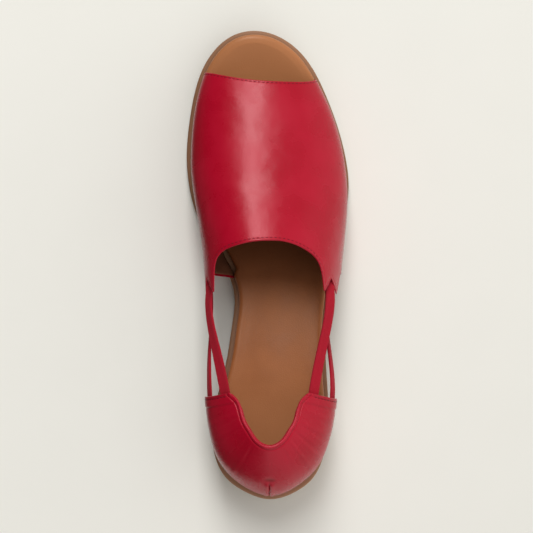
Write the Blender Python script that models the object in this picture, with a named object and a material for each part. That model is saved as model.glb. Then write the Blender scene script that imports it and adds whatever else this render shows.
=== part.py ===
"""A flat peep-toe shoe for the right foot: an open toe, a wide leather vamp, sides that are open
but for two elastic straps each, and a closed counter round the heel.

X points to the little toe side, Y to the toe and Z up. The ground is Z = 0, and the origin lies
under the middle of the sole. A station is a share of the sole's length, counted from the heel.
"""

import math

import bmesh
import bpy
import numpy as np

for thing in list(bpy.data.objects):
    bpy.data.objects.remove(thing)

# Sole sizes, in metres
SOLE_LENGTH = 0.252
BALL_WIDTH = 0.0878
WAIST_WIDTH = 0.0500
HEEL_WIDTH = 0.0630
SOLE_THICKNESS = 0.0070
HEEL_LIFT = 0.0130
TOE_SPRING = 0.0085
RIM_BAND = 0.0032
RIM_GROOVE = 0.0009

# Footbed sizes
FOOTBED_THICKNESS = 0.0048
FOOTBED_ROLL = 0.0024
FOOTBED_DISH = 0.0014
DISH_FADE = 0.10
OPEN_RIM = 0.0024

# Upper sizes
WALL = 0.0019
EDGE_WALL = 0.0010
SKIVE_REACH = 0.0060
SKIVE_RAMP = 0.0040
UPPER_RIM = 0.0024
COUNTER_RIM = 0.0028
INSTEP_HEIGHT = 0.0585
COUNTER_HEIGHT = 0.0470
TOPLINE_BEAD = 0.0005
FOLD_STEP = 0.0003
FOLD_WIDTH = 0.0055

# Strap sizes
STRAP_WIDTH = 0.0060
STRAP_THICKNESS = 0.0014
STRAP_HOLD = 0.0090
STRAP_BOW = 0.0010

# Clearances: between neighbours, and between the footbed's side and the upper's wall
GAP = 0.0003
FOOTBED_PLAY = 0.0008
SEAT_PLAY = 0.0003

# The sole's outline: half widths to each side as shares of the width that rules there
OUTLINE_ROWS = [
    # station, ruling width, medial share, lateral share
    (0.012, HEEL_WIDTH, -0.150, 0.195),
    (0.040, HEEL_WIDTH, -0.325, 0.362),
    (0.085, HEEL_WIDTH, -0.437, 0.462),
    (0.130, HEEL_WIDTH, -0.479, 0.506),
    (0.175, HEEL_WIDTH, -0.470, 0.516),
    (0.235, WAIST_WIDTH, -0.526, 0.638),
    (0.300, WAIST_WIDTH, -0.436, 0.622),
    (0.370, WAIST_WIDTH, -0.376, 0.628),
    (0.435, WAIST_WIDTH, -0.362, 0.664),
    (0.500, BALL_WIDTH, -0.272, 0.408),
    (0.560, BALL_WIDTH, -0.374, 0.451),
    (0.620, BALL_WIDTH, -0.449, 0.490),
    (0.680, BALL_WIDTH, -0.488, 0.502),
    (0.740, BALL_WIDTH, -0.498, 0.478),
    (0.800, BALL_WIDTH, -0.484, 0.431),
    (0.860, BALL_WIDTH, -0.455, 0.365),
    (0.915, BALL_WIDTH, -0.406, 0.287),
    (0.960, BALL_WIDTH, -0.325, 0.185),
    (0.988, BALL_WIDTH, -0.226, 0.066),
]
TOE_TIP_SHARE = -0.085
HEEL_TIP_SHARE = 0.018

# Where the heel's pitch, its breast and the toe spring lie
PITCH_BACK = 0.22
PITCH_FRONT = 0.58
BREAST_BACK = 0.262
BREAST_FRONT = 0.276
SPRING_START = 0.70
SPRING_POWER = 1.9

# The last above the sole: each row is a cross-section. Widths are shares of the ball width, and
# heights over the sole's top are shares of the instep height.
LAST_ROWS = [
    # station, medial, its height, lateral, its height, ridge place, ridge height
    (0.915, -0.384, 0.110, 0.265, 0.105, -0.057, 0.345),
    (0.850, -0.438, 0.165, 0.358, 0.150, -0.066, 0.480),
    (0.780, -0.466, 0.215, 0.430, 0.185, -0.075, 0.600),
    (0.700, -0.472, 0.265, 0.474, 0.215, -0.078, 0.725),
    (0.620, -0.443, 0.330, 0.482, 0.245, -0.072, 0.862),
    (0.550, -0.411, 0.395, 0.463, 0.270, -0.060, 0.990),
    (0.480, -0.392, 0.435, 0.440, 0.285, -0.048, 1.060),
    (0.420, -0.382, 0.450, 0.420, 0.290, -0.036, 1.090),
]
MEDIAL_FULLNESS = 0.12
LATERAL_FULLNESS = 0.0

# Girth shares: 0 at the medial edge of the sole, 0.5 on the ridge, 1 at the lateral edge
WIDEST_GIRTH = 0.13
TAB_FADE = 0.05

# The vamp's front edge
FRONT_ROWS = [
    # girth, station
    (0.00, 0.909),
    (0.13, 0.908),
    (0.30, 0.901),
    (0.40, 0.893),
    (0.50, 0.887),
    (0.60, 0.885),
    (0.70, 0.886),
    (0.87, 0.894),
    (1.00, 0.896),
]

# The throat in plan, from the medial tab to the lateral one: across is a share of the ball width
THROAT_ROWS = [
    # across, station
    (-0.343, 0.443),
    (-0.342, 0.471),
    (-0.339, 0.497),
    (-0.325, 0.516),
    (-0.293, 0.529),
    (-0.219, 0.541),
    (-0.130, 0.549),
    (-0.030, 0.552),
    (0.060, 0.551),
    (0.140, 0.544),
    (0.210, 0.532),
    (0.260, 0.519),
    (0.291, 0.503),
    (0.307, 0.482),
    (0.315, 0.460),
    (0.319, 0.445),
]

# The rear edge of each wing, from the sole up to its tab on the throat: a notch, a tab and a
# notch. Heights over the sole's top are shares of the instep height.
MEDIAL_WING = [
    # height, station
    (0.350, 0.482),
    (0.455, 0.438),
    (0.600, 0.476),
]
LATERAL_WING = [
    # height, station
    (0.450, 0.483),
    (0.545, 0.438),
    (0.695, 0.473),
]
WING_FOOT = 0.472
WING_STEPS = (5, 2, 3, 3)
NOTCH_START = 0.72

# The counter's three guide lines, from the medial front edge round the back to the lateral one
COUNTER_ROWS = [
    # share round, base station, widest x, widest station, widest height, top x, top station, top height
    (0.000, 0.212, -0.529, 0.222, 0.370, -0.363, 0.234, 0.810),
    (0.065, 0.180, -0.525, 0.187, 0.355, -0.289, 0.217, 0.865),
    (0.140, 0.138, -0.505, 0.145, 0.330, -0.243, 0.187, 0.920),
    (0.235, 0.090, -0.444, 0.095, 0.290, -0.187, 0.162, 0.960),
    (0.340, 0.044, -0.308, 0.050, 0.245, -0.114, 0.141, 0.985),
    (0.420, 0.016, -0.156, 0.024, 0.225, -0.067, 0.133, 0.995),
    (0.500, 0.000, 0.013, 0.012, 0.215, -0.017, 0.130, 1.000),
    (0.580, 0.016, 0.178, 0.024, 0.225, 0.035, 0.133, 0.995),
    (0.660, 0.044, 0.332, 0.052, 0.245, 0.083, 0.140, 0.985),
    (0.765, 0.090, 0.454, 0.095, 0.290, 0.162, 0.160, 0.960),
    (0.860, 0.138, 0.524, 0.145, 0.330, 0.217, 0.184, 0.920),
    (0.935, 0.180, 0.556, 0.187, 0.355, 0.262, 0.216, 0.865),
    (1.000, 0.212, 0.567, 0.217, 0.370, 0.333, 0.234, 0.810),
]
WIDEST_RISE = 0.38

# Where the straps pass under the leather: height shares of the instep and of the counter, and
# how deep under the leather's outside they leave the wing, as a share of their seat's depth
STRAP_ROWS = [
    # name, side, height on the vamp, height on the counter, depth share where it leaves
    ("strap_medial_upper", -1, 0.600, 0.735, 0.20),
    ("strap_medial_lower", -1, 0.365, 0.430, 1.00),
    ("strap_lateral_upper", 1, 0.695, 0.740, 0.20),
    ("strap_lateral_lower", 1, 0.245, 0.430, 1.00),
]


def ease(share):
    """A soft step from 0 to 1."""
    share = min(max(share, 0.0), 1.0)
    return share * share * (3.0 - 2.0 * share)


class Smooth:
    """A curve of continuous curvature through the rows of a short table."""

    def __init__(self, places, values, period=None):
        self.places = np.array(places, float)
        self.values = np.array(values, float).reshape(len(places), -1)
        self.period = period
        if period is not None:
            self.places = np.append(self.places, self.places[0] + period)
            self.values = np.vstack([self.values, self.values[:1]])
        self.bends = self.solve()

    def solve(self):
        """The second derivatives at the rows."""
        steps = np.diff(self.places)
        slopes = np.diff(self.values, axis=0) / steps[:, None]
        count = len(self.places)
        system = np.eye(count)
        target = np.zeros_like(self.values)
        for row in range(1, count - 1):
            system[row, row - 1] = steps[row - 1]
            system[row, row] = 2.0 * (steps[row - 1] + steps[row])
            system[row, row + 1] = steps[row]
            target[row] = 6.0 * (slopes[row] - slopes[row - 1])
        if self.period is not None:
            system[0, -1] = -1.0
            system[-1] = 0.0
            system[-1, -2] = steps[-1]
            system[-1, 0] = 2.0 * steps[0]
            system[-1, -1] = 2.0 * steps[-1]
            system[-1, 1] = steps[0]
            target[-1] = 6.0 * (slopes[0] - slopes[-1])
        return np.linalg.solve(system, target)

    def at(self, place):
        """The value at a place along the table."""
        if self.period is not None:
            place = self.places[0] + (place - self.places[0]) % self.period
        row = int(np.searchsorted(self.places, place)) - 1
        row = min(max(row, 0), len(self.places) - 2)
        step = self.places[row + 1] - self.places[row]
        far = (place - self.places[row]) / step
        near = 1.0 - far
        bend = (near**3 - near) * self.bends[row] + (far**3 - far) * self.bends[row + 1]
        value = near * self.values[row] + far * self.values[row + 1] + bend * step**2 / 6.0
        return value if len(value) > 1 else float(value[0])


def length_at(station):
    """The Y of a station."""
    return (station - 0.5) * SOLE_LENGTH


def outline_turns():
    """The outline as one closed curve of half widths. The angle runs from the heel's back up
    the medial side to the toe and down the lateral side, with station = (1 - cos angle) / 2."""
    angles = [0.0]
    widths = [HEEL_TIP_SHARE * HEEL_WIDTH]
    for station, width, medial, _ in OUTLINE_ROWS:
        angles.append(math.acos(1.0 - 2.0 * station))
        widths.append(medial * width)
    angles.append(math.pi)
    widths.append(TOE_TIP_SHARE * BALL_WIDTH)
    for station, width, _, lateral in reversed(OUTLINE_ROWS):
        angles.append(2.0 * math.pi - math.acos(1.0 - 2.0 * station))
        widths.append(lateral * width)
    return Smooth(angles, widths, 2.0 * math.pi)


OUTLINE = outline_turns()


def outline_angle(station, side):
    """The outline's angle at a station, on the medial (-1) or lateral (1) side."""
    angle = math.acos(1.0 - 2.0 * station)
    return angle if side < 0 else 2.0 * math.pi - angle


def outline_point(angle, inset=0.0):
    """A point of the outline in plan, moved inwards by inset."""
    place = np.array([OUTLINE.at(angle), length_at((1.0 - math.cos(angle)) / 2.0)])
    if inset == 0.0:
        return place
    step = 0.002
    before = outline_point(angle - step)
    along = outline_point(angle + step) - before
    inward = np.array([along[1], -along[0]]) / np.linalg.norm(along)
    return place + inset * inward


def pitch(station):
    """How much of the heel's lift the sole has at a station."""
    return ease((PITCH_FRONT - station) / (PITCH_FRONT - PITCH_BACK))


def spring(station):
    """The rise of the toe off the ground."""
    share = max(station - SPRING_START, 0.0) / (1.0 - SPRING_START)
    return TOE_SPRING * share**SPRING_POWER


def sole_top(station):
    return SOLE_THICKNESS + HEEL_LIFT * pitch(station) + spring(station)


def sole_bottom(station):
    block = ease((station - BREAST_BACK) / (BREAST_FRONT - BREAST_BACK))
    return HEEL_LIFT * pitch(station) * block + spring(station)


def station_of(y):
    return min(max(y / SOLE_LENGTH + 0.5, 0.0), 1.0)


LAST = Smooth(
    [row[0] for row in reversed(LAST_ROWS)],
    [row[1:] for row in reversed(LAST_ROWS)],
)


def last_point(girth, station):
    """A point on the outside of the vamp. The wall rises from the sole's edge to its widest
    line as a soft lean, and closes over the foot as a full half ellipse."""
    medial, medial_rise, lateral, lateral_rise, ridge, crest = LAST.at(station)
    side = -1 if girth < 0.5 else 1
    share = girth if side < 0 else 1.0 - girth
    ground = sole_top(station)
    wide, widest, fullness = medial, medial_rise, MEDIAL_FULLNESS
    if side > 0:
        wide, widest, fullness = lateral, lateral_rise, LATERAL_FULLNESS
    rise = ground + widest * INSTEP_HEIGHT
    foot = outline_point(outline_angle(station, side), UPPER_RIM)[0]
    base = ground + GAP
    if share < WIDEST_GIRTH:
        turn = share / WIDEST_GIRTH
        across = foot + (wide * BALL_WIDTH - foot) * math.sin(turn * math.pi / 2.0)
        height = base + (rise - base) * turn
    else:
        turn = (share - WIDEST_GIRTH) / (0.5 - WIDEST_GIRTH) * math.pi / 2.0
        across = (ridge + (wide - ridge) * math.cos(turn)) * BALL_WIDTH
        full = math.sin(turn) * (1.0 + fullness * math.cos(turn) ** 2)
        height = rise + (ground + crest * INSTEP_HEIGHT - rise) * full
    return np.array([across, length_at(station), height])


def last_normal(girth, station):
    """The outward direction of the last. It lies level at the sole, where the wall stands."""
    girth = min(max(girth, 0.001), 0.999)
    step = 0.004
    around = last_point(girth + step, station) - last_point(girth - step, station)
    along = last_point(girth, station + step) - last_point(girth, station - step)
    normal = np.cross(around, along)
    share = min(girth, 1.0 - girth) / WIDEST_GIRTH
    normal[2] *= ease(share / 0.5)
    return normal / np.linalg.norm(normal)


def crossing(low, high, measure, value):
    """The place between low and high at which a rising measure passes a value."""
    for _ in range(40):
        middle = (low + high) / 2.0
        if measure(middle) < value:
            low = middle
        else:
            high = middle
    return (low + high) / 2.0


def girth_at_height(side, height, station):
    """The girth of a height on one side, where height is a share of the instep height."""
    level = sole_top(station) + height * INSTEP_HEIGHT

    def rise(share):
        return last_point(share if side < 0 else 1.0 - share, station)[2]

    share = crossing(0.0, 0.5, rise, level)
    return share if side < 0 else 1.0 - share


def throat_curve():
    """The throat as (girth, station) over its running length in plan."""
    plan = [np.array([across * BALL_WIDTH, length_at(station)]) for across, station in THROAT_ROWS]
    runs = np.cumsum([0.0] + [np.linalg.norm(b - a) for a, b in zip(plan, plan[1:])])
    values = []
    for (across, _), (_, station) in zip(plan, THROAT_ROWS):
        girth = crossing(
            WIDEST_GIRTH, 1.0 - WIDEST_GIRTH, lambda g, s=station: last_point(g, s)[0], across
        )
        values.append((girth, station))
    return Smooth(runs / runs[-1], values)


FRONT = Smooth([row[0] for row in FRONT_ROWS], [row[1] for row in FRONT_ROWS])
THROAT = throat_curve()


def spread(first, last, count):
    """Evenly spaced values after first, up to and with last."""
    return [first + (last - first) * step / count for step in range(1, count + 1)]


def wing_columns(side, rows, tab):
    """Rear ends of a wing's columns, from the sole to the tab: girth, station and the station
    that the edge would have without its tabs and notches."""
    foot = 0.0 if side < 0 else 1.0
    corners = [(foot, WING_FOOT)]
    corners += [(girth_at_height(side, height, station), station) for height, station in rows]
    corners.append((tab[0], tab[1]))
    columns = [(foot, WING_FOOT, WING_FOOT)]
    for (girth, station), (next_girth, next_station), count in zip(
        corners, corners[1:], WING_STEPS
    ):
        for share in spread(0.0, 1.0, count):
            here = girth + (next_girth - girth) * share
            plain = WING_FOOT + (tab[1] - WING_FOOT) * (here - foot) / (tab[0] - foot)
            columns.append((here, station + (next_station - station) * share, plain))
    return columns


def vamp_columns(throat_count=22):
    """The vamp's columns from the medial to the lateral foot: the girth at the front edge, then
    the girth, the station and the plain station at the rear edge."""
    medial_tab, lateral_tab = THROAT.at(0.0), THROAT.at(1.0)
    columns = [(row[0], *row) for row in wing_columns(-1, MEDIAL_WING, medial_tab)]
    for share in spread(0.0, 1.0, throat_count)[:-1]:
        girth, station = THROAT.at(share)
        front = medial_tab[0] + (lateral_tab[0] - medial_tab[0]) * share
        columns.append((front, girth, station, station))
    columns += [(row[0], *row) for row in reversed(wing_columns(1, LATERAL_WING, lateral_tab))]
    return columns


def vamp_place(column, share):
    """The girth and station of a point of the vamp, share running from the front edge back."""
    front_girth, girth, station, plain = column
    front = FRONT.at(front_girth)
    notch = (station - plain) * ease((share - NOTCH_START) / (1.0 - NOTCH_START))
    return front_girth + (girth - front_girth) * share, front + (plain - front) * share + notch


def edge_thinning(depth):
    """1 by an edge that holds a strap, and 0 past the strap's end."""
    return ease((STRAP_HOLD + SKIVE_REACH - depth) / SKIVE_RAMP)


GUIDES = Smooth([row[0] for row in COUNTER_ROWS], [row[2:] for row in COUNTER_ROWS])


def base_angle(around):
    """The outline's angle under the counter."""
    rows = [(row[0], outline_angle(row[1], -1 if row[0] <= 0.5 else 1)) for row in COUNTER_ROWS]
    turns = [angle if angle < math.pi else angle - 2.0 * math.pi for _, angle in rows]
    return float(np.interp(around, [share for share, _ in rows], turns))


def hermite(start, leave, end, arrive, turn):
    """A cubic from start to end with the given directions."""
    square, cube = turn**2, turn**3
    return (
        (2 * cube - 3 * square + 1) * start
        + (cube - 2 * square + turn) * leave
        + (3 * square - 2 * cube) * end
        + (cube - square) * arrive
    )


def counter_form(around, rise):
    """A point on the outside of the counter: it leans out from the sole to its widest line and
    then closes over the heel like a dome to the topline."""
    wide_x, wide_station, wide_height, top_x, top_station, top_height = GUIDES.at(around)
    angle = base_angle(around)
    foot = outline_point(angle, COUNTER_RIM)
    ground = sole_top(station_of(foot[1]))
    base = np.array([foot[0], foot[1], ground + GAP])
    wide = np.array(
        [wide_x * HEEL_WIDTH, length_at(wide_station), ground + wide_height * COUNTER_HEIGHT]
    )
    top = np.array(
        [top_x * HEEL_WIDTH, length_at(top_station), ground + top_height * COUNTER_HEIGHT]
    )
    upright = np.array([0.0, 0.0, 1.0])
    if rise < WIDEST_RISE:
        turn = rise / WIDEST_RISE
        reach = wide - base
        start = reach + upright * 0.3 * reach[2]
        return hermite(base, start, wide, upright * reach[2], turn)
    turn = (rise - WIDEST_RISE) / (1.0 - WIDEST_RISE)
    reach = top - wide
    inward = np.array([reach[0], reach[1], 0.45 * reach[2]])
    return hermite(wide, upright * reach[2] * 1.5, top, inward * 1.2, turn)


def counter_normal(around, rise):
    """The outward direction of the counter, level where the wall stands on the sole."""
    around = min(max(around, 0.005), 0.995)
    rise = min(max(rise, 0.01), 0.99)
    step = 0.005
    sideways = counter_form(around + step, rise) - counter_form(around - step, rise)
    upwards = counter_form(around, rise + step) - counter_form(around, rise - step)
    normal = np.cross(sideways, upwards)
    normal[2] *= ease(rise / (0.5 * WIDEST_RISE))
    return normal / np.linalg.norm(normal)


def new_object(name, mesh_maker, material):
    """An object from a bmesh, with its faces outwards and its round faces smooth."""
    mesh = bpy.data.meshes.new(name)
    mesh_maker.verts.ensure_lookup_table()
    bmesh.ops.recalc_face_normals(mesh_maker, faces=mesh_maker.faces)
    mesh_maker.to_mesh(mesh)
    mesh_maker.free()
    mesh.shade_smooth()
    mesh.set_sharp_from_angle(angle=math.radians(45))
    thing = bpy.data.objects.new(name, mesh)
    thing.data.materials.append(material)
    bpy.context.scene.collection.objects.link(thing)
    return thing


def finish(name, colour, roughness, metallic=0.0):
    """A plain material."""
    material = bpy.data.materials.new(name)
    material.use_nodes = True
    shader = material.node_tree.nodes["Principled BSDF"]
    shader.inputs["Base Color"].default_value = (*colour, 1.0)
    shader.inputs["Roughness"].default_value = roughness
    shader.inputs["Metallic"].default_value = metallic
    return material


def sole_stations(count=48):
    """Stations from heel to toe, closer together at both ends, with the heel's breast added."""
    places = [(1.0 - math.cos(math.pi * step / count)) / 2.0 for step in range(count + 1)]
    clear = 0.6 * (BREAST_FRONT - BREAST_BACK)
    places = [s for s in places if not BREAST_BACK - clear < s < BREAST_FRONT + clear]
    middle = (BREAST_BACK + BREAST_FRONT) / 2.0
    return sorted(places + [BREAST_BACK, middle, BREAST_FRONT])


def ring(maker, stations, inset_of, height_of):
    """One closed row of vertices round the sole: medial side up, lateral side down."""
    angles = [outline_angle(station, -1) for station in stations]
    angles += [outline_angle(station, 1) for station in reversed(stations[1:-1])]
    places = list(stations) + list(reversed(stations[1:-1]))
    row = []
    for angle, station in zip(angles, places):
        across, along = outline_point(angle, inset_of(station))
        row.append(maker.verts.new((across, along, height_of(station))))
    return row


def join_rings(maker, lower, upper):
    count = len(lower)
    for here in range(count):
        there = (here + 1) % count
        maker.faces.new((lower[here], lower[there], upper[there], upper[here]))


def close_ring(maker, row, height_of=None, columns=0):
    """Closes a ring with rungs from side to side. height_of(station, share across, edge height)
    gives the height of the rungs' inner points."""
    half = len(row) // 2
    rungs = []
    for step in range(1, half):
        left, right = row[step], row[-step]
        rung = [left]
        for column in range(1, columns + 1):
            share = column / (columns + 1)
            place = left.co.lerp(right.co, share)
            place.z = height_of(station_of(place.y), share, place.z)
            rung.append(maker.verts.new(place))
        rungs.append(rung + [right])
    for first, second in zip(rungs, rungs[1:]):
        for column in range(columns + 1):
            maker.faces.new(
                (first[column], first[column + 1], second[column + 1], second[column])
            )
    for tip, rung in ((row[0], rungs[0]), (row[half], rungs[-1])):
        for column in range(columns + 1):
            maker.faces.new((tip, rung[column], rung[column + 1]))


def build_outsole(material):
    """The moulded sole: a tread with a soft edge, a side with a groove under its rim, and a
    rounded rim on which the upper stands."""
    maker = bmesh.new()
    stations = sole_stations()
    rows = [
        # inset from the outline, height over the bottom or under the top
        (0.0030, sole_bottom, 0.0),
        (0.0014, sole_bottom, 0.0012),
        (RIM_GROOVE * 0.6, sole_top, -RIM_BAND - 0.0010),
        (RIM_GROOVE, sole_top, -RIM_BAND - 0.0004),
        (RIM_GROOVE, sole_top, -RIM_BAND),
        (0.0001, sole_top, 0.0007 - RIM_BAND),
        (0.0000, sole_top, -0.0010),
        (0.0006, sole_top, -0.0002),
        (0.0014, sole_top, 0.0),
    ]
    rings = [
        ring(maker, stations, lambda _, d=inset: d, lambda s, f=level, d=rise: f(s) + d)
        for inset, level, rise in rows
    ]
    for lower, upper in zip(rings, rings[1:]):
        join_rings(maker, lower, upper)
    close_ring(maker, rings[0])
    close_ring(maker, rings[-1])
    return new_object("outsole", maker, material)


def footbed_inset(station):
    """How far the footbed's side lies inside the sole's outline. It makes room for the upper
    where that stands on the sole, and shows wider at the openings."""
    lead, fade = 0.004, 0.028
    front = max(FRONT_ROWS[0][1], FRONT_ROWS[-1][1]) + lead
    rear = WING_FOOT - lead
    counter = COUNTER_ROWS[0][1] + lead
    by_vamp = ease((front + fade - station) / fade) * ease((station - rear + fade) / fade)
    by_counter = ease((counter + fade - station) / fade)
    beside_vamp = UPPER_RIM + WALL + FOOTBED_PLAY - OPEN_RIM
    beside_counter = COUNTER_RIM + WALL + FOOTBED_PLAY - OPEN_RIM
    return OPEN_RIM + beside_vamp * by_vamp + beside_counter * by_counter


def build_insole(material):
    """The footbed: a wrapped board with rolled edges and a dished top."""
    maker = bmesh.new()
    stations = sole_stations()

    def seat(station):
        return sole_top(station) + GAP

    rows = [
        # inset from the footbed's side, share of the thickness
        (0.40, 0.00),
        (0.00, 0.22),
        (0.00, 0.55),
        (0.30, 0.88),
        (1.00, 1.00),
        (2.60, 0.90),
    ]
    rings = [
        ring(
            maker,
            stations,
            lambda s, d=inset * FOOTBED_ROLL: footbed_inset(s) + d,
            lambda s, d=share * FOOTBED_THICKNESS: seat(s) + d,
        )
        for inset, share in rows
    ]
    for lower, upper in zip(rings, rings[1:]):
        join_rings(maker, lower, upper)
    close_ring(maker, rings[0])

    def dished(station, across, edge):
        full = ease(station / DISH_FADE) * ease((1.0 - station) / DISH_FADE)
        return edge - FOOTBED_DISH * full * math.sin(math.pi * across)

    close_ring(maker, rings[-1], dished, 3)
    return new_object("insole", maker, material)


def wall_solid(name, outer, inner, rounded, material):
    """A closed wall between two grids of points. Each grid is a list of rows; rounded says for
    the edges (first row, last column, last row, first column) whether they get a round nose."""
    maker = bmesh.new()
    rows, columns = len(outer), len(outer[0])
    outside = [[maker.verts.new(place) for place in row] for row in outer]
    inside = [[maker.verts.new(place) for place in row] for row in inner]
    for i in range(rows - 1):
        for j in range(columns - 1):
            for face in (outside, inside):
                maker.faces.new((face[i][j], face[i + 1][j], face[i + 1][j + 1], face[i][j + 1]))
    edge = [(0, j, 0) for j in range(columns - 1)]
    edge += [(i, columns - 1, 1) for i in range(rows - 1)]
    edge += [(rows - 1, j, 2) for j in range(columns - 1, 0, -1)]
    edge += [(i, 0, 3) for i in range(rows - 1, 0, -1)]
    count = len(edge)
    noses = {}
    for here, (i, j, side) in enumerate(edge):
        before_side = edge[here - 1][2]
        if not (rounded[side] or rounded[before_side]):
            continue
        middle = (outer[i][j] + inner[i][j]) / 2.0
        across = outer[i][j] - inner[i][j]
        outward = np.zeros(3)
        for other, its_side in ((here + 1, side), (here - 1, before_side)):
            if not rounded[its_side]:
                continue
            k, m, _ = edge[other % count]
            run = (outer[k][m] - outer[i][j]) * (1 if other > here else -1)
            sideways = np.cross(run, across)
            outward += sideways / np.linalg.norm(sideways)
        outward /= np.linalg.norm(outward)
        noses[here] = maker.verts.new(middle + outward * 0.36 * np.linalg.norm(across))
    for here, (i, j, side) in enumerate(edge):
        there = (here + 1) % count
        k, m, _ = edge[there]
        ends = (outside[i][j], outside[k][m], inside[k][m], inside[i][j])
        if rounded[side]:
            maker.faces.new((ends[0], ends[1], noses[there], noses[here]))
            maker.faces.new((noses[here], noses[there], ends[2], ends[3]))
        else:
            maker.faces.new(ends)
        if rounded[side] != rounded[edge[here - 1][2]]:
            maker.faces.new((outside[i][j], noses[here], inside[i][j]))
    return new_object(name, maker, material)


def build_vamp(material):
    """The front of the upper: one hollow wall over the last, open at the toe and the throat. It
    is thinner at the wings' rear edges, where the straps lie against it."""
    outer, inner = [], []
    shares = [0.0] + spread(0.0, 0.70, 11) + spread(0.70, 1.0, 9)
    medial_tab, lateral_tab = THROAT.at(0.0)[0], THROAT.at(1.0)[0]
    for column in vamp_columns():
        outer.append([])
        inner.append([])
        beyond = min(column[1] - medial_tab, lateral_tab - column[1])
        for share in shares:
            girth, station = vamp_place(column, share)
            thinning = edge_thinning(length_at(station) - length_at(WING_FOOT))
            thinning *= ease(1.0 - beyond / TAB_FADE)
            wall = WALL - (WALL - EDGE_WALL) * thinning
            place = last_point(girth, station)
            outer[-1].append(place)
            inner[-1].append(place - wall * last_normal(girth, station))
    return wall_solid("vamp", outer, inner, (False, True, False, True), material)


def topline_rise(depth):
    """The rise share that lies this depth under the topline, measured at the back."""
    top = counter_form(0.5, 1.0)
    below = counter_form(0.5, 0.95)
    return 1.0 - 0.05 * depth / np.linalg.norm(top - below)


def front_share(depth):
    """The share round that lies this depth behind the front edge, at the widest line."""
    edge = counter_form(0.0, WIDEST_RISE)
    behind = counter_form(0.05, WIDEST_RISE)
    return 0.05 * depth / np.linalg.norm(edge - behind)


def counter_thickening(around, rise, fold, bead):
    """The extra thickness of the folded front edges and of the bead on the topline."""
    end = min(around, 1.0 - around)
    band = FOLD_STEP * ease((fold - end) / (0.18 * fold))
    roll = TOPLINE_BEAD * ease((rise - bead) / (0.4 * (1.0 - bead)))
    return max(band, roll)


def build_counter(material):
    """The back of the upper: one hollow wall round the heel, with a bead on its topline and
    folded front edges."""
    fold = front_share(FOLD_WIDTH)
    bead = topline_rise(0.0022)
    arounds = [0.0, 0.45 * fold, 0.82 * fold, fold] + spread(fold, 3.2 * fold, 3)
    arounds += spread(3.2 * fold, 0.5, 18)
    arounds += [1.0 - around for around in arounds[-2::-1]]
    rises = [0.0] + spread(0.0, WIDEST_RISE, 4) + spread(WIDEST_RISE, bead, 7)
    rises += spread(bead, 1.0, 3)
    outer, inner = [], []
    for around in arounds:
        outer.append([])
        inner.append([])
        for rise in rises:
            place = counter_form(around, rise)
            normal = counter_normal(around, rise)
            outer[-1].append(place + normal * counter_thickening(around, rise, fold, bead))
            depth = min(around, 1.0 - around) / front_share(1.0)
            wall = WALL - (WALL - EDGE_WALL) * edge_thinning(depth)
            inner[-1].append(place - normal * wall)
    return wall_solid("counter", outer, inner, (True, True, True, False), material)


def strap_seat(place, normal, side_way, share=1.0):
    """A strap's middle behind a thin wall, and the direction of its width. A share under 1
    brings it nearer to the wall's outside."""
    depth = EDGE_WALL + GAP + STRAP_THICKNESS / 2.0 + SEAT_PLAY
    across = side_way - normal * np.dot(side_way, normal)
    return place - normal * depth * share, across / np.linalg.norm(across)


def vamp_seat(side, height, station, share=1.0):
    """Where a strap lies behind the vamp at a height share."""
    girth = girth_at_height(side, height, station)
    higher = last_point(girth - 0.01 * side, station) - last_point(girth, station)
    return strap_seat(last_point(girth, station), last_normal(girth, station), higher, share)


def counter_seat(side, height, around):
    """Where a strap lies behind the counter at a height share."""
    around = around if side < 0 else 1.0 - around
    foot = outline_point(base_angle(around))
    level = sole_top(station_of(foot[1])) + height * COUNTER_HEIGHT
    rise = crossing(0.0, 1.0, lambda r: counter_form(around, r)[2], level)
    higher = counter_form(around, rise + 0.01) - counter_form(around, rise)
    return strap_seat(counter_form(around, rise), counter_normal(around, rise), higher)


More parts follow.
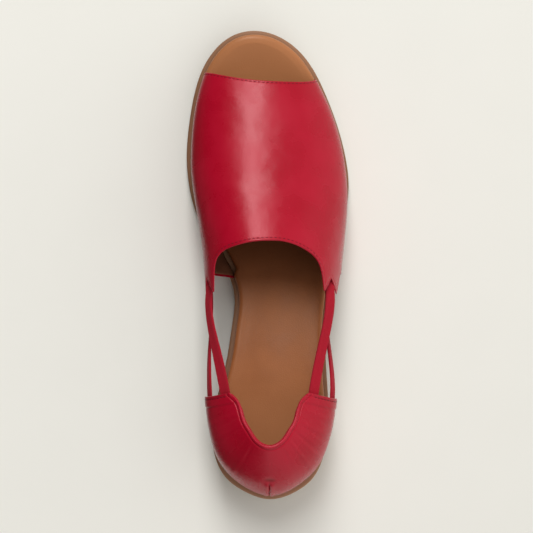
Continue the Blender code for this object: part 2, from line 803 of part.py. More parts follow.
def build_strap(name, side, vamp_height, counter_height, leaving, material):
    """An elastic strap: a flat band from behind the vamp's wing to behind the counter."""
    exits = [
        # place in front of the wing's edge as a share of the hold, share of the seat's depth
        (1.0, 1.0),
        (0.5, 1.0),
        (-0.1, 1.0),
        (-1.1, leaving),
    ]
    hold = STRAP_HOLD / SOLE_LENGTH
    tuck = front_share(STRAP_HOLD)
    seats = [vamp_seat(side, vamp_height, WING_FOOT + hold * at, depth) for at, depth in exits]
    seats += [counter_seat(side, counter_height, tuck * at) for at in (0.0, 0.5, 1.0)]
    left, joined = seats[len(exits) - 1], seats[len(exits)]
    middle = (left[0] + joined[0]) / 2.0 + np.array([side * STRAP_BOW, 0.0, 0.0])
    seats.insert(len(exits), (middle, (left[1] + joined[1]) / 2.0))
    places = [place for place, _ in seats]
    runs = np.cumsum([0.0] + [np.linalg.norm(b - a) for a, b in zip(places, places[1:])])
    route = Smooth(runs, np.hstack([places, [across for _, across in seats]]))
    maker = bmesh.new()
    half_width, half_thickness = STRAP_WIDTH / 2.0, STRAP_THICKNESS / 2.0
    corners = [
        # shares of the half width and of the half thickness
        (-1.0, -0.4), (-0.88, -1.0), (0.88, -1.0), (1.0, -0.4),
        (1.0, 0.4), (0.88, 1.0), (-0.88, 1.0), (-1.0, 0.4),
    ]
    stops = [0.0] + spread(0.0, runs[3], 6) + spread(runs[3], runs[5], 8)
    stops += spread(runs[5], runs[-1], 4)
    rows = []
    for stop in stops:
        value = route.at(stop)
        ahead = route.at(min(stop + 0.0005, runs[-1])) - route.at(max(stop - 0.0005, 0.0))
        along = ahead[:3] / np.linalg.norm(ahead[:3])
        across = value[3:] - along * np.dot(value[3:], along)
        across /= np.linalg.norm(across)
        through = np.cross(along, across)
        rows.append(
            [
                maker.verts.new(value[:3] + across * w * half_width + through * t * half_thickness)
                for w, t in corners
            ]
        )
    for lower, upper in zip(rows, rows[1:]):
        join_rings(maker, lower, upper)
    maker.faces.new(rows[0])
    maker.faces.new(rows[-1])
    return new_object(name, maker, material)


SOLE_FINISH = finish("moulded_sole", (0.25, 0.13, 0.07), 0.55)
FOOTBED_FINISH = finish("tan_leather", (0.29, 0.11, 0.045), 0.5)
UPPER_FINISH = finish("red_leather", (0.45, 0.02, 0.035), 0.42)
STRAP_FINISH = finish("red_elastic", (0.30, 0.012, 0.03), 0.75)

build_outsole(SOLE_FINISH)
build_insole(FOOTBED_FINISH)
build_vamp(UPPER_FINISH)
build_counter(UPPER_FINISH)
for strap_name, strap_side, on_vamp, on_counter, leaving_share in STRAP_ROWS:
    build_strap(strap_name, strap_side, on_vamp, on_counter, leaving_share, STRAP_FINISH)
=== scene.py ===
# %% [markdown]
# # A flat peep-toe shoe, dressed as the real one
#
# The shoe is for the right foot. A wide red leather vamp is open at the toe and at the throat,
# two elastic straps on each side lead to a closed counter round the heel, and the foot stands on
# a tan leather footbed over a low moulded sole.
#
# X points to the little toe side, Y to the toe and Z up, in metres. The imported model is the
# frame: every piece below lies near its solid and looks better. Sole, footbed and leather lie
# within 3 mm of their solids. The straps were fitted to the photo and lie up to 4.5 mm away.

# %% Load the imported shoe
import math

import bmesh
import bpy
import numpy as np
from mathutils import Matrix, Vector


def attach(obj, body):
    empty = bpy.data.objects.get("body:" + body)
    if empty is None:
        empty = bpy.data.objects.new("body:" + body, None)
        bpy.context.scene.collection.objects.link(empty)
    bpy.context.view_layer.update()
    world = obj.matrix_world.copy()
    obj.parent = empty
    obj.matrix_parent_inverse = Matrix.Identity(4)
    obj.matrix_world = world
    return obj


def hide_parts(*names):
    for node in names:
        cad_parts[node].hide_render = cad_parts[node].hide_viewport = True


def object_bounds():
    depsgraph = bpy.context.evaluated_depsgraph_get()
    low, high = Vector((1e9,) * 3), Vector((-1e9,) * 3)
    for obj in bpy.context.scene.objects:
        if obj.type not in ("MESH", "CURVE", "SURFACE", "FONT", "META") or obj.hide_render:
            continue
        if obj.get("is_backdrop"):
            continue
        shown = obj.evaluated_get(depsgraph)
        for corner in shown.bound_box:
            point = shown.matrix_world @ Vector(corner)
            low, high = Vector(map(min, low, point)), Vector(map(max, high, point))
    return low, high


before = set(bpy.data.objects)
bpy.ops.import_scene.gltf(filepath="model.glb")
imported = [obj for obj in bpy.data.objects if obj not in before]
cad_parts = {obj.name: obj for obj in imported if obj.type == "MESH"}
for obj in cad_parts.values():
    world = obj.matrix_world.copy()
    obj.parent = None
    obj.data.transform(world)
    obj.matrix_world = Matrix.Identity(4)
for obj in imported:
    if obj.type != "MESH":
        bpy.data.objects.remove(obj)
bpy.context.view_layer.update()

# %% [markdown]
# ## The last
#
# A shoemaker works over a last, the wooden shape of a foot. Here the last is a handful of short
# tables with smooth curves through their rows. Every piece of leather is later laid over these
# curves. They are the curves of the solids, with small changes where the photo asked for them.

# %% The shoe's own sizes
SOLE_LENGTH = 0.252
BALL_WIDTH = 0.0878
WAIST_WIDTH = 0.0500
HEEL_WIDTH = 0.0630
SOLE_THICKNESS = 0.0070
HEEL_LIFT = 0.0130
TOE_SPRING = 0.0085
RIM_BAND = 0.0032
RIM_GROOVE = 0.0009
FOOTBED_THICKNESS = 0.0048
FOOTBED_ROLL = 0.0024
OPEN_RIM = 0.0024
WALL = 0.0019
EDGE_WALL = 0.0010
SKIVE_REACH = 0.0060
SKIVE_RAMP = 0.0040
UPPER_RIM = 0.0024
COUNTER_RIM = 0.0028
INSTEP_HEIGHT = 0.0585
COUNTER_HEIGHT = 0.0470
FOLD_WIDTH = 0.0055
STRAP_WIDTH = 0.0060
STRAP_THICKNESS = 0.0014
STRAP_HOLD = 0.0090
GAP = 0.0003
FOOTBED_PLAY = 0.0008
SEAT_PLAY = 0.0003

# %% Curves through the rows of a table


def ease(share):
    """A soft step from 0 to 1."""
    share = np.clip(share, 0.0, 1.0)
    return share * share * (3.0 - 2.0 * share)


def window(value, start, rise, end, fall):
    """1 between start and end, with a soft rise after the start and a soft fall to the end."""
    return ease((value - start) / rise) * ease((end - value) / fall)


class Smooth:
    """A curve of continuous curvature through the rows of a short table."""

    def __init__(self, places, values, period=None):
        self.places = np.array(places, float)
        self.values = np.array(values, float).reshape(len(places), -1)
        self.period = period
        if period is not None:
            self.places = np.append(self.places, self.places[0] + period)
            self.values = np.vstack([self.values, self.values[:1]])
        self.bends = self.solve()

    def solve(self):
        """The second derivatives at the rows."""
        steps = np.diff(self.places)
        slopes = np.diff(self.values, axis=0) / steps[:, None]
        count = len(self.places)
        system = np.eye(count)
        target = np.zeros_like(self.values)
        for row in range(1, count - 1):
            system[row, row - 1] = steps[row - 1]
            system[row, row] = 2.0 * (steps[row - 1] + steps[row])
            system[row, row + 1] = steps[row]
            target[row] = 6.0 * (slopes[row] - slopes[row - 1])
        if self.period is not None:
            system[0, -1] = -1.0
            system[-1] = 0.0
            system[-1, -2] = steps[-1]
            system[-1, 0] = 2.0 * steps[0]
            system[-1, -1] = 2.0 * steps[-1]
            system[-1, 1] = steps[0]
            target[-1] = 6.0 * (slopes[0] - slopes[-1])
        return np.linalg.solve(system, target)

    def at(self, place):
        """The values at one place, or at many at once."""
        place = np.asarray(place, float)
        if self.period is not None:
            place = self.places[0] + (place - self.places[0]) % self.period
        row = np.clip(np.searchsorted(self.places, place) - 1, 0, len(self.places) - 2)
        step = (self.places[row + 1] - self.places[row])[..., None]
        far = (place - self.places[row])[..., None] / step
        near = 1.0 - far
        bend = (near**3 - near) * self.bends[row] + (far**3 - far) * self.bends[row + 1]
        value = near * self.values[row] + far * self.values[row + 1] + bend * step**2 / 6.0
        return value if self.values.shape[1] > 1 else value[..., 0]


# %% [markdown]
# ## The sole's outline and profile
#
# A station is a share of the sole's length, from the heel. Each row of the outline holds half
# widths to both sides, as shares of the width that rules at that place.

# %% The outline
OUTLINE_ROWS = [
    # station, ruling width, medial share, lateral share
    (0.012, HEEL_WIDTH, -0.164, 0.203),
    (0.040, HEEL_WIDTH, -0.338, 0.364),
    (0.085, HEEL_WIDTH, -0.446, 0.463),
    (0.130, HEEL_WIDTH, -0.479, 0.506),
    (0.175, HEEL_WIDTH, -0.470, 0.516),
    (0.235, WAIST_WIDTH, -0.526, 0.638),
    (0.300, WAIST_WIDTH, -0.444, 0.620),
    (0.370, WAIST_WIDTH, -0.388, 0.628),
    (0.435, WAIST_WIDTH, -0.362, 0.664),
    (0.500, BALL_WIDTH, -0.272, 0.408),
    (0.560, BALL_WIDTH, -0.374, 0.451),
    (0.620, BALL_WIDTH, -0.449, 0.490),
    (0.680, BALL_WIDTH, -0.488, 0.502),
    (0.740, BALL_WIDTH, -0.498, 0.478),
    (0.800, BALL_WIDTH, -0.484, 0.431),
    (0.860, BALL_WIDTH, -0.455, 0.365),
    (0.915, BALL_WIDTH, -0.406, 0.287),
    (0.960, BALL_WIDTH, -0.325, 0.185),
    (0.988, BALL_WIDTH, -0.226, 0.066),
]
TOE_TIP_SHARE = -0.085
HEEL_TIP_SHARE = 0.018


def length_at(station):
    return (station - 0.5) * SOLE_LENGTH


def station_of(y):
    return np.clip(y / SOLE_LENGTH + 0.5, 0.0, 1.0)


def station_at(angle):
    """The station at an angle of the outline."""
    return (1.0 - np.cos(angle)) / 2.0


def outline_turns():
    """The outline as one closed curve of half widths. The angle runs from the heel's back up
    the medial side to the toe and down the lateral side, with station = (1 - cos angle) / 2."""
    angles = [0.0]
    widths = [HEEL_TIP_SHARE * HEEL_WIDTH]
    for station, width, medial, _ in OUTLINE_ROWS:
        angles.append(math.acos(1.0 - 2.0 * station))
        widths.append(medial * width)
    angles.append(math.pi)
    widths.append(TOE_TIP_SHARE * BALL_WIDTH)
    for station, width, _, lateral in reversed(OUTLINE_ROWS):
        angles.append(2.0 * math.pi - math.acos(1.0 - 2.0 * station))
        widths.append(lateral * width)
    return Smooth(angles, widths, 2.0 * math.pi)


OUTLINE = outline_turns()


def outline_angle(station, side):
    """The outline's angle at a station, on the medial (-1) or lateral (1) side."""
    angle = np.arccos(1.0 - 2.0 * np.asarray(station))
    return np.where(np.asarray(side) < 0, angle, 2.0 * math.pi - angle)


def outline_point(angle, inset=0.0):
    """Points of the outline in plan, moved inwards by inset."""

    def plain(turn):
        return np.stack([OUTLINE.at(turn), length_at(station_at(turn))], axis=-1)

    step = 0.002
    along = plain(angle + step) - plain(angle - step)
    inward = np.stack([along[..., 1], -along[..., 0]], axis=-1)
    inward /= np.linalg.norm(inward, axis=-1, keepdims=True)
    return plain(angle) + np.asarray(inset)[..., None] * inward


print("ball width:", round(float(OUTLINE.at(4.35) - OUTLINE.at(1.93)), 4))

# %% The profile: heel block, arch and toe spring
PITCH_BACK = 0.22
PITCH_FRONT = 0.58
BREAST_BACK = 0.262
BREAST_FRONT = 0.276
SPRING_START = 0.70
SPRING_POWER = 1.9


def pitch(station):
    """How much of the heel's lift the sole has at a station."""
    return ease((PITCH_FRONT - station) / (PITCH_FRONT - PITCH_BACK))


def spring(station):
    """The rise of the toe off the ground."""
    share = np.clip((station - SPRING_START) / (1.0 - SPRING_START), 0.0, 1.0)
    return TOE_SPRING * share**SPRING_POWER


def sole_top(station):
    return SOLE_THICKNESS + HEEL_LIFT * pitch(station) + spring(station)


def sole_bottom(station):
    block = ease((station - BREAST_BACK) / (BREAST_FRONT - BREAST_BACK))
    return HEEL_LIFT * pitch(station) * block + spring(station)


print("heel height:", round(float(sole_top(0.1)), 4))
print("toe spring:", round(float(sole_bottom(1.0)), 4))

# %% [markdown]
# ## The vamp's form
#
# The vamp closes over the forefoot as a half ellipse. A girth is a share of the way over the
# foot: 0 at the medial edge of the sole, 0.5 on the ridge and 1 at the lateral edge.

# %% Sections of the last, and the edges of the vamp on it
LAST_ROWS = [
    # station, medial, its height, lateral, its height, ridge place, ridge height
    (0.915, -0.384, 0.110, 0.265, 0.105, -0.057, 0.345),
    (0.850, -0.438, 0.165, 0.358, 0.150, -0.066, 0.480),
    (0.780, -0.466, 0.215, 0.430, 0.185, -0.075, 0.600),
    (0.700, -0.472, 0.265, 0.474, 0.215, -0.078, 0.725),
    (0.620, -0.443, 0.330, 0.482, 0.245, -0.072, 0.862),
    (0.550, -0.411, 0.395, 0.463, 0.270, -0.060, 0.990),
    (0.480, -0.392, 0.435, 0.440, 0.285, -0.048, 1.060),
    (0.420, -0.382, 0.450, 0.420, 0.290, -0.036, 1.090),
]
MEDIAL_FULLNESS = 0.12
LATERAL_FULLNESS = 0.0
WIDEST_GIRTH = 0.13
TAB_FADE = 0.05
FRONT_ROWS = [
    # girth, station
    (0.00, 0.909),
    (0.13, 0.908),
    (0.30, 0.901),
    (0.40, 0.893),
    (0.50, 0.887),
    (0.60, 0.885),
    (0.70, 0.886),
    (0.87, 0.894),
    (1.00, 0.896),
]
THROAT_ROWS = [
    # across as a share of the ball width, station
    (-0.343, 0.443),
    (-0.342, 0.471),
    (-0.339, 0.497),
    (-0.325, 0.516),
    (-0.293, 0.529),
    (-0.219, 0.541),
    (-0.130, 0.549),
    (-0.030, 0.552),
    (0.060, 0.551),
    (0.140, 0.544),
    (0.210, 0.532),
    (0.260, 0.519),
    (0.291, 0.503),
    (0.307, 0.482),
    (0.315, 0.460),
    (0.319, 0.445),
]
MEDIAL_WING = [
    # height as a share of the instep height, station
    (0.350, 0.482),
    (0.455, 0.438),
    (0.600, 0.476),
]
LATERAL_WING = [
    # height as a share of the instep height, station
    (0.450, 0.483),
    (0.545, 0.438),
    (0.695, 0.473),
]
WING_FOOT = 0.472
NOTCH_START = 0.72

LAST = Smooth([row[0] for row in reversed(LAST_ROWS)], [row[1:] for row in reversed(LAST_ROWS)])
FRONT = Smooth([row[0] for row in FRONT_ROWS], [row[1] for row in FRONT_ROWS])


def unit(vectors):
    """Vectors of length 1, along the last axis."""
    return vectors / np.linalg.norm(vectors, axis=-1, keepdims=True)


def running_lengths(places):
    """How far along a line of points each point lies."""
    return np.append(0.0, np.cumsum(np.linalg.norm(np.diff(places, axis=0), axis=1)))


def last_point(girth, station):
    """Points on the outside of the vamp."""
    girth, station = np.broadcast_arrays(np.asarray(girth, float), np.asarray(station, float))
    medial, medial_rise, lateral, lateral_rise, ridge, crest = np.moveaxis(LAST.at(station), -1, 0)
    left = girth < 0.5
    share = np.where(left, girth, 1.0 - girth)
    wide = np.where(left, medial, lateral)
    fullness = np.where(left, MEDIAL_FULLNESS, LATERAL_FULLNESS)
    ground = sole_top(station)
    rise = ground + np.where(left, medial_rise, lateral_rise) * INSTEP_HEIGHT
    foot = outline_point(outline_angle(station, np.where(left, -1, 1)), UPPER_RIM)[..., 0]
    base = ground + GAP
    turn = np.clip(share / WIDEST_GIRTH, 0.0, 1.0)
    low_across = foot + (wide * BALL_WIDTH - foot) * np.sin(turn * math.pi / 2.0)
    low_height = base + (rise - base) * turn
    turn = np.clip((share - WIDEST_GIRTH) / (0.5 - WIDEST_GIRTH), 0.0, 1.0) * math.pi / 2.0
    high_across = (ridge + (wide - ridge) * np.cos(turn)) * BALL_WIDTH
    full = np.sin(turn) * (1.0 + fullness * np.cos(turn) ** 2)
    high_height = rise + (ground + crest * INSTEP_HEIGHT - rise) * full
    low = share < WIDEST_GIRTH
    across = np.where(low, low_across, high_across)
    height = np.where(low, low_height, high_height)
    return np.stack([across, length_at(station), height], axis=-1)


def last_normal(girth, station):
    """The outward directions of the last. They lie level at the sole, where the wall stands."""
    girth = np.clip(girth, 0.001, 0.999)
    step = 0.004
    around = last_point(girth + step, station) - last_point(girth - step, station)
    along = last_point(girth, station + step) - last_point(girth, station - step)
    normal = np.cross(around, along)
    normal[..., 2] *= ease(np.minimum(girth, 1.0 - girth) / WIDEST_GIRTH / 0.5)
    return unit(normal)


def crossing(low, high, measure, value):
    """The place between low and high at which a rising measure passes a value."""
    for _ in range(40):
        middle = (low + high) / 2.0
        if measure(middle) < value:
            low = middle
        else:
            high = middle
    return (low + high) / 2.0


def girth_at_height(side, height, station):
    """The girth of a height on one side, where height is a share of the instep height."""
    level = sole_top(station) + height * INSTEP_HEIGHT
    share = crossing(
        0.0, 0.5, lambda g: last_point(g if side < 0 else 1.0 - g, station)[2], level
    )
    return share if side < 0 else 1.0 - share


def throat_curve():
    """The throat as (girth, station) over its running length in plan."""
    plan = [(across * BALL_WIDTH, length_at(station)) for across, station in THROAT_ROWS]
    runs = running_lengths(plan)
    values = []
    for (across, _), (_, station) in zip(plan, THROAT_ROWS):
        girth = crossing(
            WIDEST_GIRTH, 1.0 - WIDEST_GIRTH, lambda g, s=station: last_point(g, s)[0], across
        )
        values.append((girth, station))
    return Smooth(runs / runs[-1], values)


THROAT = throat_curve()
MEDIAL_TAB, LATERAL_TAB = THROAT.at(0.0), THROAT.at(1.0)
print("instep over the throat:", round(float(last_point(*THROAT.at(0.5))[2]), 4))

# %% [markdown]
# The rear edge of the vamp runs up one wing with its notches and tabs, along the throat, and
# down the other wing. It is measured once along its running length, and its corners are rounded
# by a short running mean, as a knife rounds them in soft leather.

# %% The vamp's rear edge
TAB_ROUNDING = 0.0009


def rear_edge_table(count=1600):
    """Evenly spaced rows of the rear edge (front girth, girth, station and plain station), its
    length, and the shares of it at which the wings end."""

    def wing(side, rows, tab):
        foot = 0.0 if side < 0 else 1.0
        corners = [(foot, WING_FOOT)]
        corners += [(girth_at_height(side, height, station), station) for height, station in rows]
        corners.append(tuple(tab))
        points = []
        for first, second in zip(corners, corners[1:]):
            for share in np.linspace(0.0, 1.0, 80, endpoint=False):
                girth = first[0] + (second[0] - first[0]) * share
                station = first[1] + (second[1] - first[1]) * share
                plain = WING_FOOT + (tab[1] - WING_FOOT) * (girth - foot) / (tab[0] - foot)
                points.append((girth, girth, station, plain))
        return points

    points = wing(-1, MEDIAL_WING, MEDIAL_TAB)
    for share in np.linspace(0.0, 1.0, 500):
        girth, station = THROAT.at(share)
        front = MEDIAL_TAB[0] + (LATERAL_TAB[0] - MEDIAL_TAB[0]) * share
        points.append((front, girth, station, station))
    points += reversed(wing(1, LATERAL_WING, LATERAL_TAB))
    points = np.array(points)
    places = last_point(points[:, 1], points[:, 2])
    runs = running_lengths(places)
    even = np.linspace(0.0, runs[-1], count)
    table = np.stack([np.interp(even, runs, column) for column in points.T], axis=1)
    reach = int(TAB_ROUNDING / (even[1] - even[0]))
    weights = np.hanning(2 * reach + 3)[1:-1]
    before = 2.0 * table[0] - table[reach:0:-1]
    after = 2.0 * table[-1] - table[-2 : -reach - 2 : -1]
    longer = np.concatenate([before, table, after])
    rounded = [np.convolve(column, weights / weights.sum(), "valid") for column in longer.T]
    bends = np.searchsorted(points[:, 1], [MEDIAL_TAB[0], LATERAL_TAB[0]])
    return np.stack(rounded, axis=1), runs[-1], runs[bends] / runs[-1]


REAR_EDGE, REAR_LENGTH, WING_ENDS = rear_edge_table()
REAR_SHARES = np.linspace(0.0, 1.0, len(REAR_EDGE))


def vamp_place(across, along):
    """Girth and station for a place of the flat pattern: across runs along the rear edge from
    the medial foot, and along runs from the front edge back."""
    front_girth, girth, station, plain = (
        np.interp(across, REAR_SHARES, column) for column in REAR_EDGE.T
    )
    front = FRONT.at(front_girth)
    notch = (station - plain) * ease((along - NOTCH_START) / (1.0 - NOTCH_START))
    return front_girth + (girth - front_girth) * along, front + (plain - front) * along + notch


def vamp_form(across, along):
    """Places and outward directions on the vamp for its flat pattern."""
    girth, station = vamp_place(across, along)
    return last_point(girth, station), last_normal(girth, station)


def vamp_wall(across, along):
    """The wall's thickness. It is skived thin where the straps lie against it."""
    girth, station = vamp_place(across, along)
    depth = length_at(station) - length_at(WING_FOOT)
    thinning = ease((STRAP_HOLD + SKIVE_REACH - depth) / SKIVE_RAMP)
    rear_girth = np.interp(across, REAR_SHARES, REAR_EDGE[:, 1])
    beyond = np.minimum(rear_girth - MEDIAL_TAB[0], LATERAL_TAB[0] - rear_girth)
    return WALL - (WALL - EDGE_WALL) * thinning * ease(1.0 - beyond / TAB_FADE)


print("rear edge:", round(float(REAR_LENGTH), 4), "m, wings end at", WING_ENDS.round(3))

# %% [markdown]
# ## The counter's form
#
# The counter leans out from the sole to its widest line and then closes over the heel like a
# dome. Three guide lines run round the heel: its base, its widest line and its topline.

# %% Guide lines of the counter
COUNTER_ROWS = [
    # share round, base station, widest x, widest station, widest height, top x, top station,
    # top height
    (0.000, 0.212, -0.541, 0.222, 0.370, -0.345, 0.234, 0.810),
    (0.065, 0.180, -0.531, 0.187, 0.355, -0.277, 0.217, 0.865),
    (0.140, 0.138, -0.504, 0.145, 0.330, -0.241, 0.187, 0.920),
    (0.235, 0.090, -0.444, 0.095, 0.290, -0.193, 0.162, 0.960),
    (0.340, 0.044, -0.308, 0.050, 0.245, -0.136, 0.140, 0.985),
    (0.420, 0.016, -0.156, 0.024, 0.225, -0.079, 0.129, 0.995),
    (0.500, 0.000, 0.013, 0.012, 0.215, -0.017, 0.125, 1.000),
    (0.580, 0.016, 0.178, 0.024, 0.225, 0.045, 0.129, 0.995),
    (0.660, 0.044, 0.332, 0.052, 0.245, 0.101, 0.140, 0.985),
    (0.765, 0.090, 0.454, 0.095, 0.290, 0.157, 0.161, 0.960),
    (0.860, 0.138, 0.521, 0.145, 0.330, 0.206, 0.185, 0.920),
    (0.935, 0.180, 0.552, 0.187, 0.355, 0.242, 0.216, 0.865),
    (1.000, 0.212, 0.564, 0.217, 0.370, 0.315, 0.234, 0.810),
]
WIDEST_RISE = 0.38
GUIDES = Smooth([row[0] for row in COUNTER_ROWS], [row[2:] for row in COUNTER_ROWS])


def base_angle(around):
    """The outline's angle under the counter."""
    turns = [float(outline_angle(row[1], -1 if row[0] <= 0.5 else 1)) for row in COUNTER_ROWS]
    turns = [turn if turn < math.pi else turn - 2.0 * math.pi for turn in turns]
    return np.interp(around, [row[0] for row in COUNTER_ROWS], turns)


def hermite(start, leave, end, arrive, turn):
    """A cubic from start to end with the given directions."""
    square, cube = turn**2, turn**3
    return (
        (2 * cube - 3 * square + 1) * start
        + (cube - 2 * square + turn) * leave
        + (3 * square - 2 * cube) * end
        + (cube - square) * arrive
    )


def counter_point(around, rise):
    """Points on the outside of the counter."""
    around, rise = np.broadcast_arrays(np.asarray(around, float), np.asarray(rise, float))
    guide = np.moveaxis(GUIDES.at(around), -1, 0)
    foot = outline_point(base_angle(around), COUNTER_RIM)
    ground = sole_top(station_of(foot[..., 1]))
    base = np.stack([foot[..., 0], foot[..., 1], ground + GAP], axis=-1)

    def guide_point(across, station, height):
        spot = (across * HEEL_WIDTH, length_at(station), ground + height * COUNTER_HEIGHT)
        return np.stack(spot, axis=-1)

    wide, top = guide_point(*guide[:3]), guide_point(*guide[3:])
    upright = np.array([0.0, 0.0, 1.0])
    reach = wide - base
    turn = np.clip(rise / WIDEST_RISE, 0.0, 1.0)[..., None]
    lean = reach + upright * 0.3 * reach[..., 2:]
    low = hermite(base, lean, wide, upright * reach[..., 2:], turn)
    reach = top - wide
    turn = np.clip((rise - WIDEST_RISE) / (1.0 - WIDEST_RISE), 0.0, 1.0)[..., None]
    inward = reach * np.array([1.2, 1.2, 0.54])
    high = hermite(wide, upright * reach[..., 2:] * 1.5, top, inward, turn)
    return np.where(rise[..., None] < WIDEST_RISE, low, high)


def counter_normal(around, rise):
    """The outward directions of the counter, level where the wall stands on the sole."""
    around, rise = np.clip(around, 0.005, 0.995), np.clip(rise, 0.01, 0.99)
    step = 0.005
    sideways = counter_point(around + step, rise) - counter_point(around - step, rise)
    upwards = counter_point(around, rise + step) - counter_point(around, rise - step)
    normal = np.cross(sideways, upwards)
    normal[..., 2] *= ease(rise / (0.5 * WIDEST_RISE))
    return unit(normal)


def counter_form(across, along):
    """Places and outward directions on the counter for its flat pattern."""
    return counter_point(across, along), counter_normal(across, along)


def front_share(depth):
    """The share round that lies this depth behind the front edge, at the widest line."""
    behind = counter_point(0.0, WIDEST_RISE) - counter_point(0.05, WIDEST_RISE)
    return 0.05 * depth / float(np.linalg.norm(behind))


def counter_wall(across, along):
    """The wall's thickness, skived thin at both front edges."""
    depth = np.minimum(across, 1.0 - across) / front_share(1.0)
    thinning = ease((STRAP_HOLD + SKIVE_REACH - depth) / SKIVE_RAMP)
    return WALL - (WALL - EDGE_WALL) * thinning


print("counter top:", round(float(counter_point(0.5, 1.0)[2]), 4))

# %% [markdown]
# ## Leather as a draped wall
#
# A shoemaker cuts a flat pattern, and the last gives it its shape. The helper does the same: it
# makes a flat grid, gives it a wall with Solidify, divides the cut edges so that they can be
# round, and only then lays every corner on the last. The distance to the free edges is kept on
# the mesh as an attribute, for the seams beside them and for the wear in the materials.

# %% Draping helpers
EDGE_STEPS = 6


def spaced(stretches):
    """Shares from 0 to 1. Each stretch is its number of steps and the share where it ends."""
    shares = [0.0]
    for count, end in stretches:
        shares += list(np.linspace(shares[-1], end, count + 1)[1:])
    return np.array(shares)


def picked(values, shares):
    """The value of an array at each share of the way through it."""
    return values[np.rint(shares * (len(values) - 1)).astype(int)]


def distance_to(places, line):
    """The distance of many places from the nearest point of a line of points."""
    nearest = np.full(len(places), np.inf)
    for start in range(0, len(line), 50):
        spans = places[:, None, :] - line[None, start : start + 50, :]
        nearest = np.minimum(nearest, (spans**2).sum(axis=2).min(axis=1))
    return np.sqrt(nearest)


def tangents(form, across, along, step=0.0008):
    """The two directions of a surface over its pattern."""
    low, high = np.clip(across - step, 0.0, 1.0), np.clip(across + step, 0.0, 1.0)
    run = form(high, along)[0] - form(low, along)[0]
    low, high = np.clip(along - step, 0.0, 1.0), np.clip(along + step, 0.0, 1.0)
    climb = form(across, high)[0] - form(across, low)[0]
    return unit(run), unit(climb)


def corners_of(mesh):
    """The mesh's corners as rows of x, y and z."""
    places = np.empty(len(mesh.vertices) * 3)
    mesh.vertices.foreach_get("co", places)
    return places.reshape(-1, 3)


def face_outwards(mesh, merge=False):
    """Turns a closed mesh's faces out, after a seam is merged and the open ends are filled."""
    shape = bmesh.new()
    shape.from_mesh(mesh)
    if merge:
        bmesh.ops.remove_doubles(shape, verts=shape.verts, dist=1e-6)
        bmesh.ops.holes_fill(shape, edges=shape.edges, sides=0)
    bmesh.ops.recalc_face_normals(shape, faces=shape.faces)
    if shape.calc_volume(signed=True) < 0.0:
        bmesh.ops.reverse_faces(shape, faces=shape.faces)
    shape.to_mesh(mesh)
    shape.free()


def mesh_from(name, pattern):
    """A mesh with a pattern's faces. The pattern is used up."""
    mesh = bpy.data.meshes.new(name)
    pattern.to_mesh(mesh)
    pattern.free()
    return mesh


def in_scene(name, data):
    """A new object in the scene."""
    thing = bpy.data.objects.new(name, data)
    bpy.context.scene.collection.objects.link(thing)
    return thing


def finished(name, mesh):
    """An object of the root body with smooth faces."""
    thing = in_scene(name, mesh)
    mesh.shade_smooth()
    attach(thing, "root")
    print(f"{name}: {len(mesh.polygons)} faces")
    return thing


def flat_slab(columns, rows):
    """A flat slab of the pattern, 1 deep, whose cut edges are divided into steps."""
    pattern = bmesh.new()
    bmesh.ops.create_grid(pattern, x_segments=columns, y_segments=rows, size=0.5)
    bmesh.ops.translate(pattern, verts=pattern.verts, vec=(0.5, 0.5, 0.0))
    bmesh.ops.solidify(pattern, geom=pattern.faces[:], thickness=1.0)
    cuts = [edge for edge in pattern.edges if abs(edge.verts[0].co.z - edge.verts[1].co.z) > 0.5]
    bmesh.ops.subdivide_edges(pattern, edges=cuts, cuts=EDGE_STEPS - 1)
    return pattern


def draped(name, columns, rows, form, wall, line, noses, lift=None, under=None):
    """A leather wall laid over a form. line holds points of its free edges, and noses says
    which edges are round (low across, high across, low along, high along). wall, lift and under
    are functions of across, along and the distance from the line: the thickness, how far the
    outside is raised, and how deep it starts."""
    columns, rows = spaced(columns), spaced(rows)
    mesh = mesh_from(name, flat_slab(len(columns) - 1, len(rows) - 1))
    flat = corners_of(mesh)
    across, along = picked(columns, flat[:, 0]), picked(rows, flat[:, 1])
    depth = np.abs(flat[:, 2])
    if depth.min() > 0.01 or depth.max() < 0.99:
        raise ValueError("the slab isn't 1 deep")
    places, normals = form(across, along)
    distance = distance_to(places, line)
    thickness = wall(across, along, distance)
    run, climb = tangents(form, across, along)
    sides = noses[1] * (across == 1.0) - 1.0 * noses[0] * (across == 0.0)
    ends = noses[3] * (along == 1.0) - 1.0 * noses[2] * (along == 0.0)
    lean = (run * climb).sum(axis=1, keepdims=True)
    outward = sides[:, None] * unit(run - climb * lean) + ends[:, None] * unit(climb - run * lean)
    length = np.linalg.norm(outward, axis=1, keepdims=True)
    outward = np.divide(outward, length, out=np.zeros_like(outward), where=length > 0.0)
    turn = (depth * math.pi)[:, None]
    inwards = np.where(length > 0.0, (1.0 - np.cos(turn)) / 2.0, depth[:, None])
    raised = np.zeros(len(flat))
    if lift is not None:
        raised += lift(across, along, distance) * (1.0 - depth)
    if under is not None:
        raised -= under(across, along, distance)
    places = places + normals * (raised[:, None] - thickness[:, None] * inwards)
    places += outward * np.sin(turn) * thickness[:, None] / 2.0
    mesh.vertices.foreach_set("co", places.ravel())
    loops = np.empty(len(mesh.loops), np.int32)
    mesh.loops.foreach_get("vertex_index", loops)
    chart = mesh.uv_layers.new(name="pattern")
    chart.data.foreach_set("uv", np.stack([across, along], 1)[loops].astype(np.float32).ravel())
    store = mesh.attributes.new("edge", "FLOAT", "POINT")
    store.data.foreach_set("value", distance.astype(np.float32))
    face_outwards(mesh)
    return finished(name, mesh)


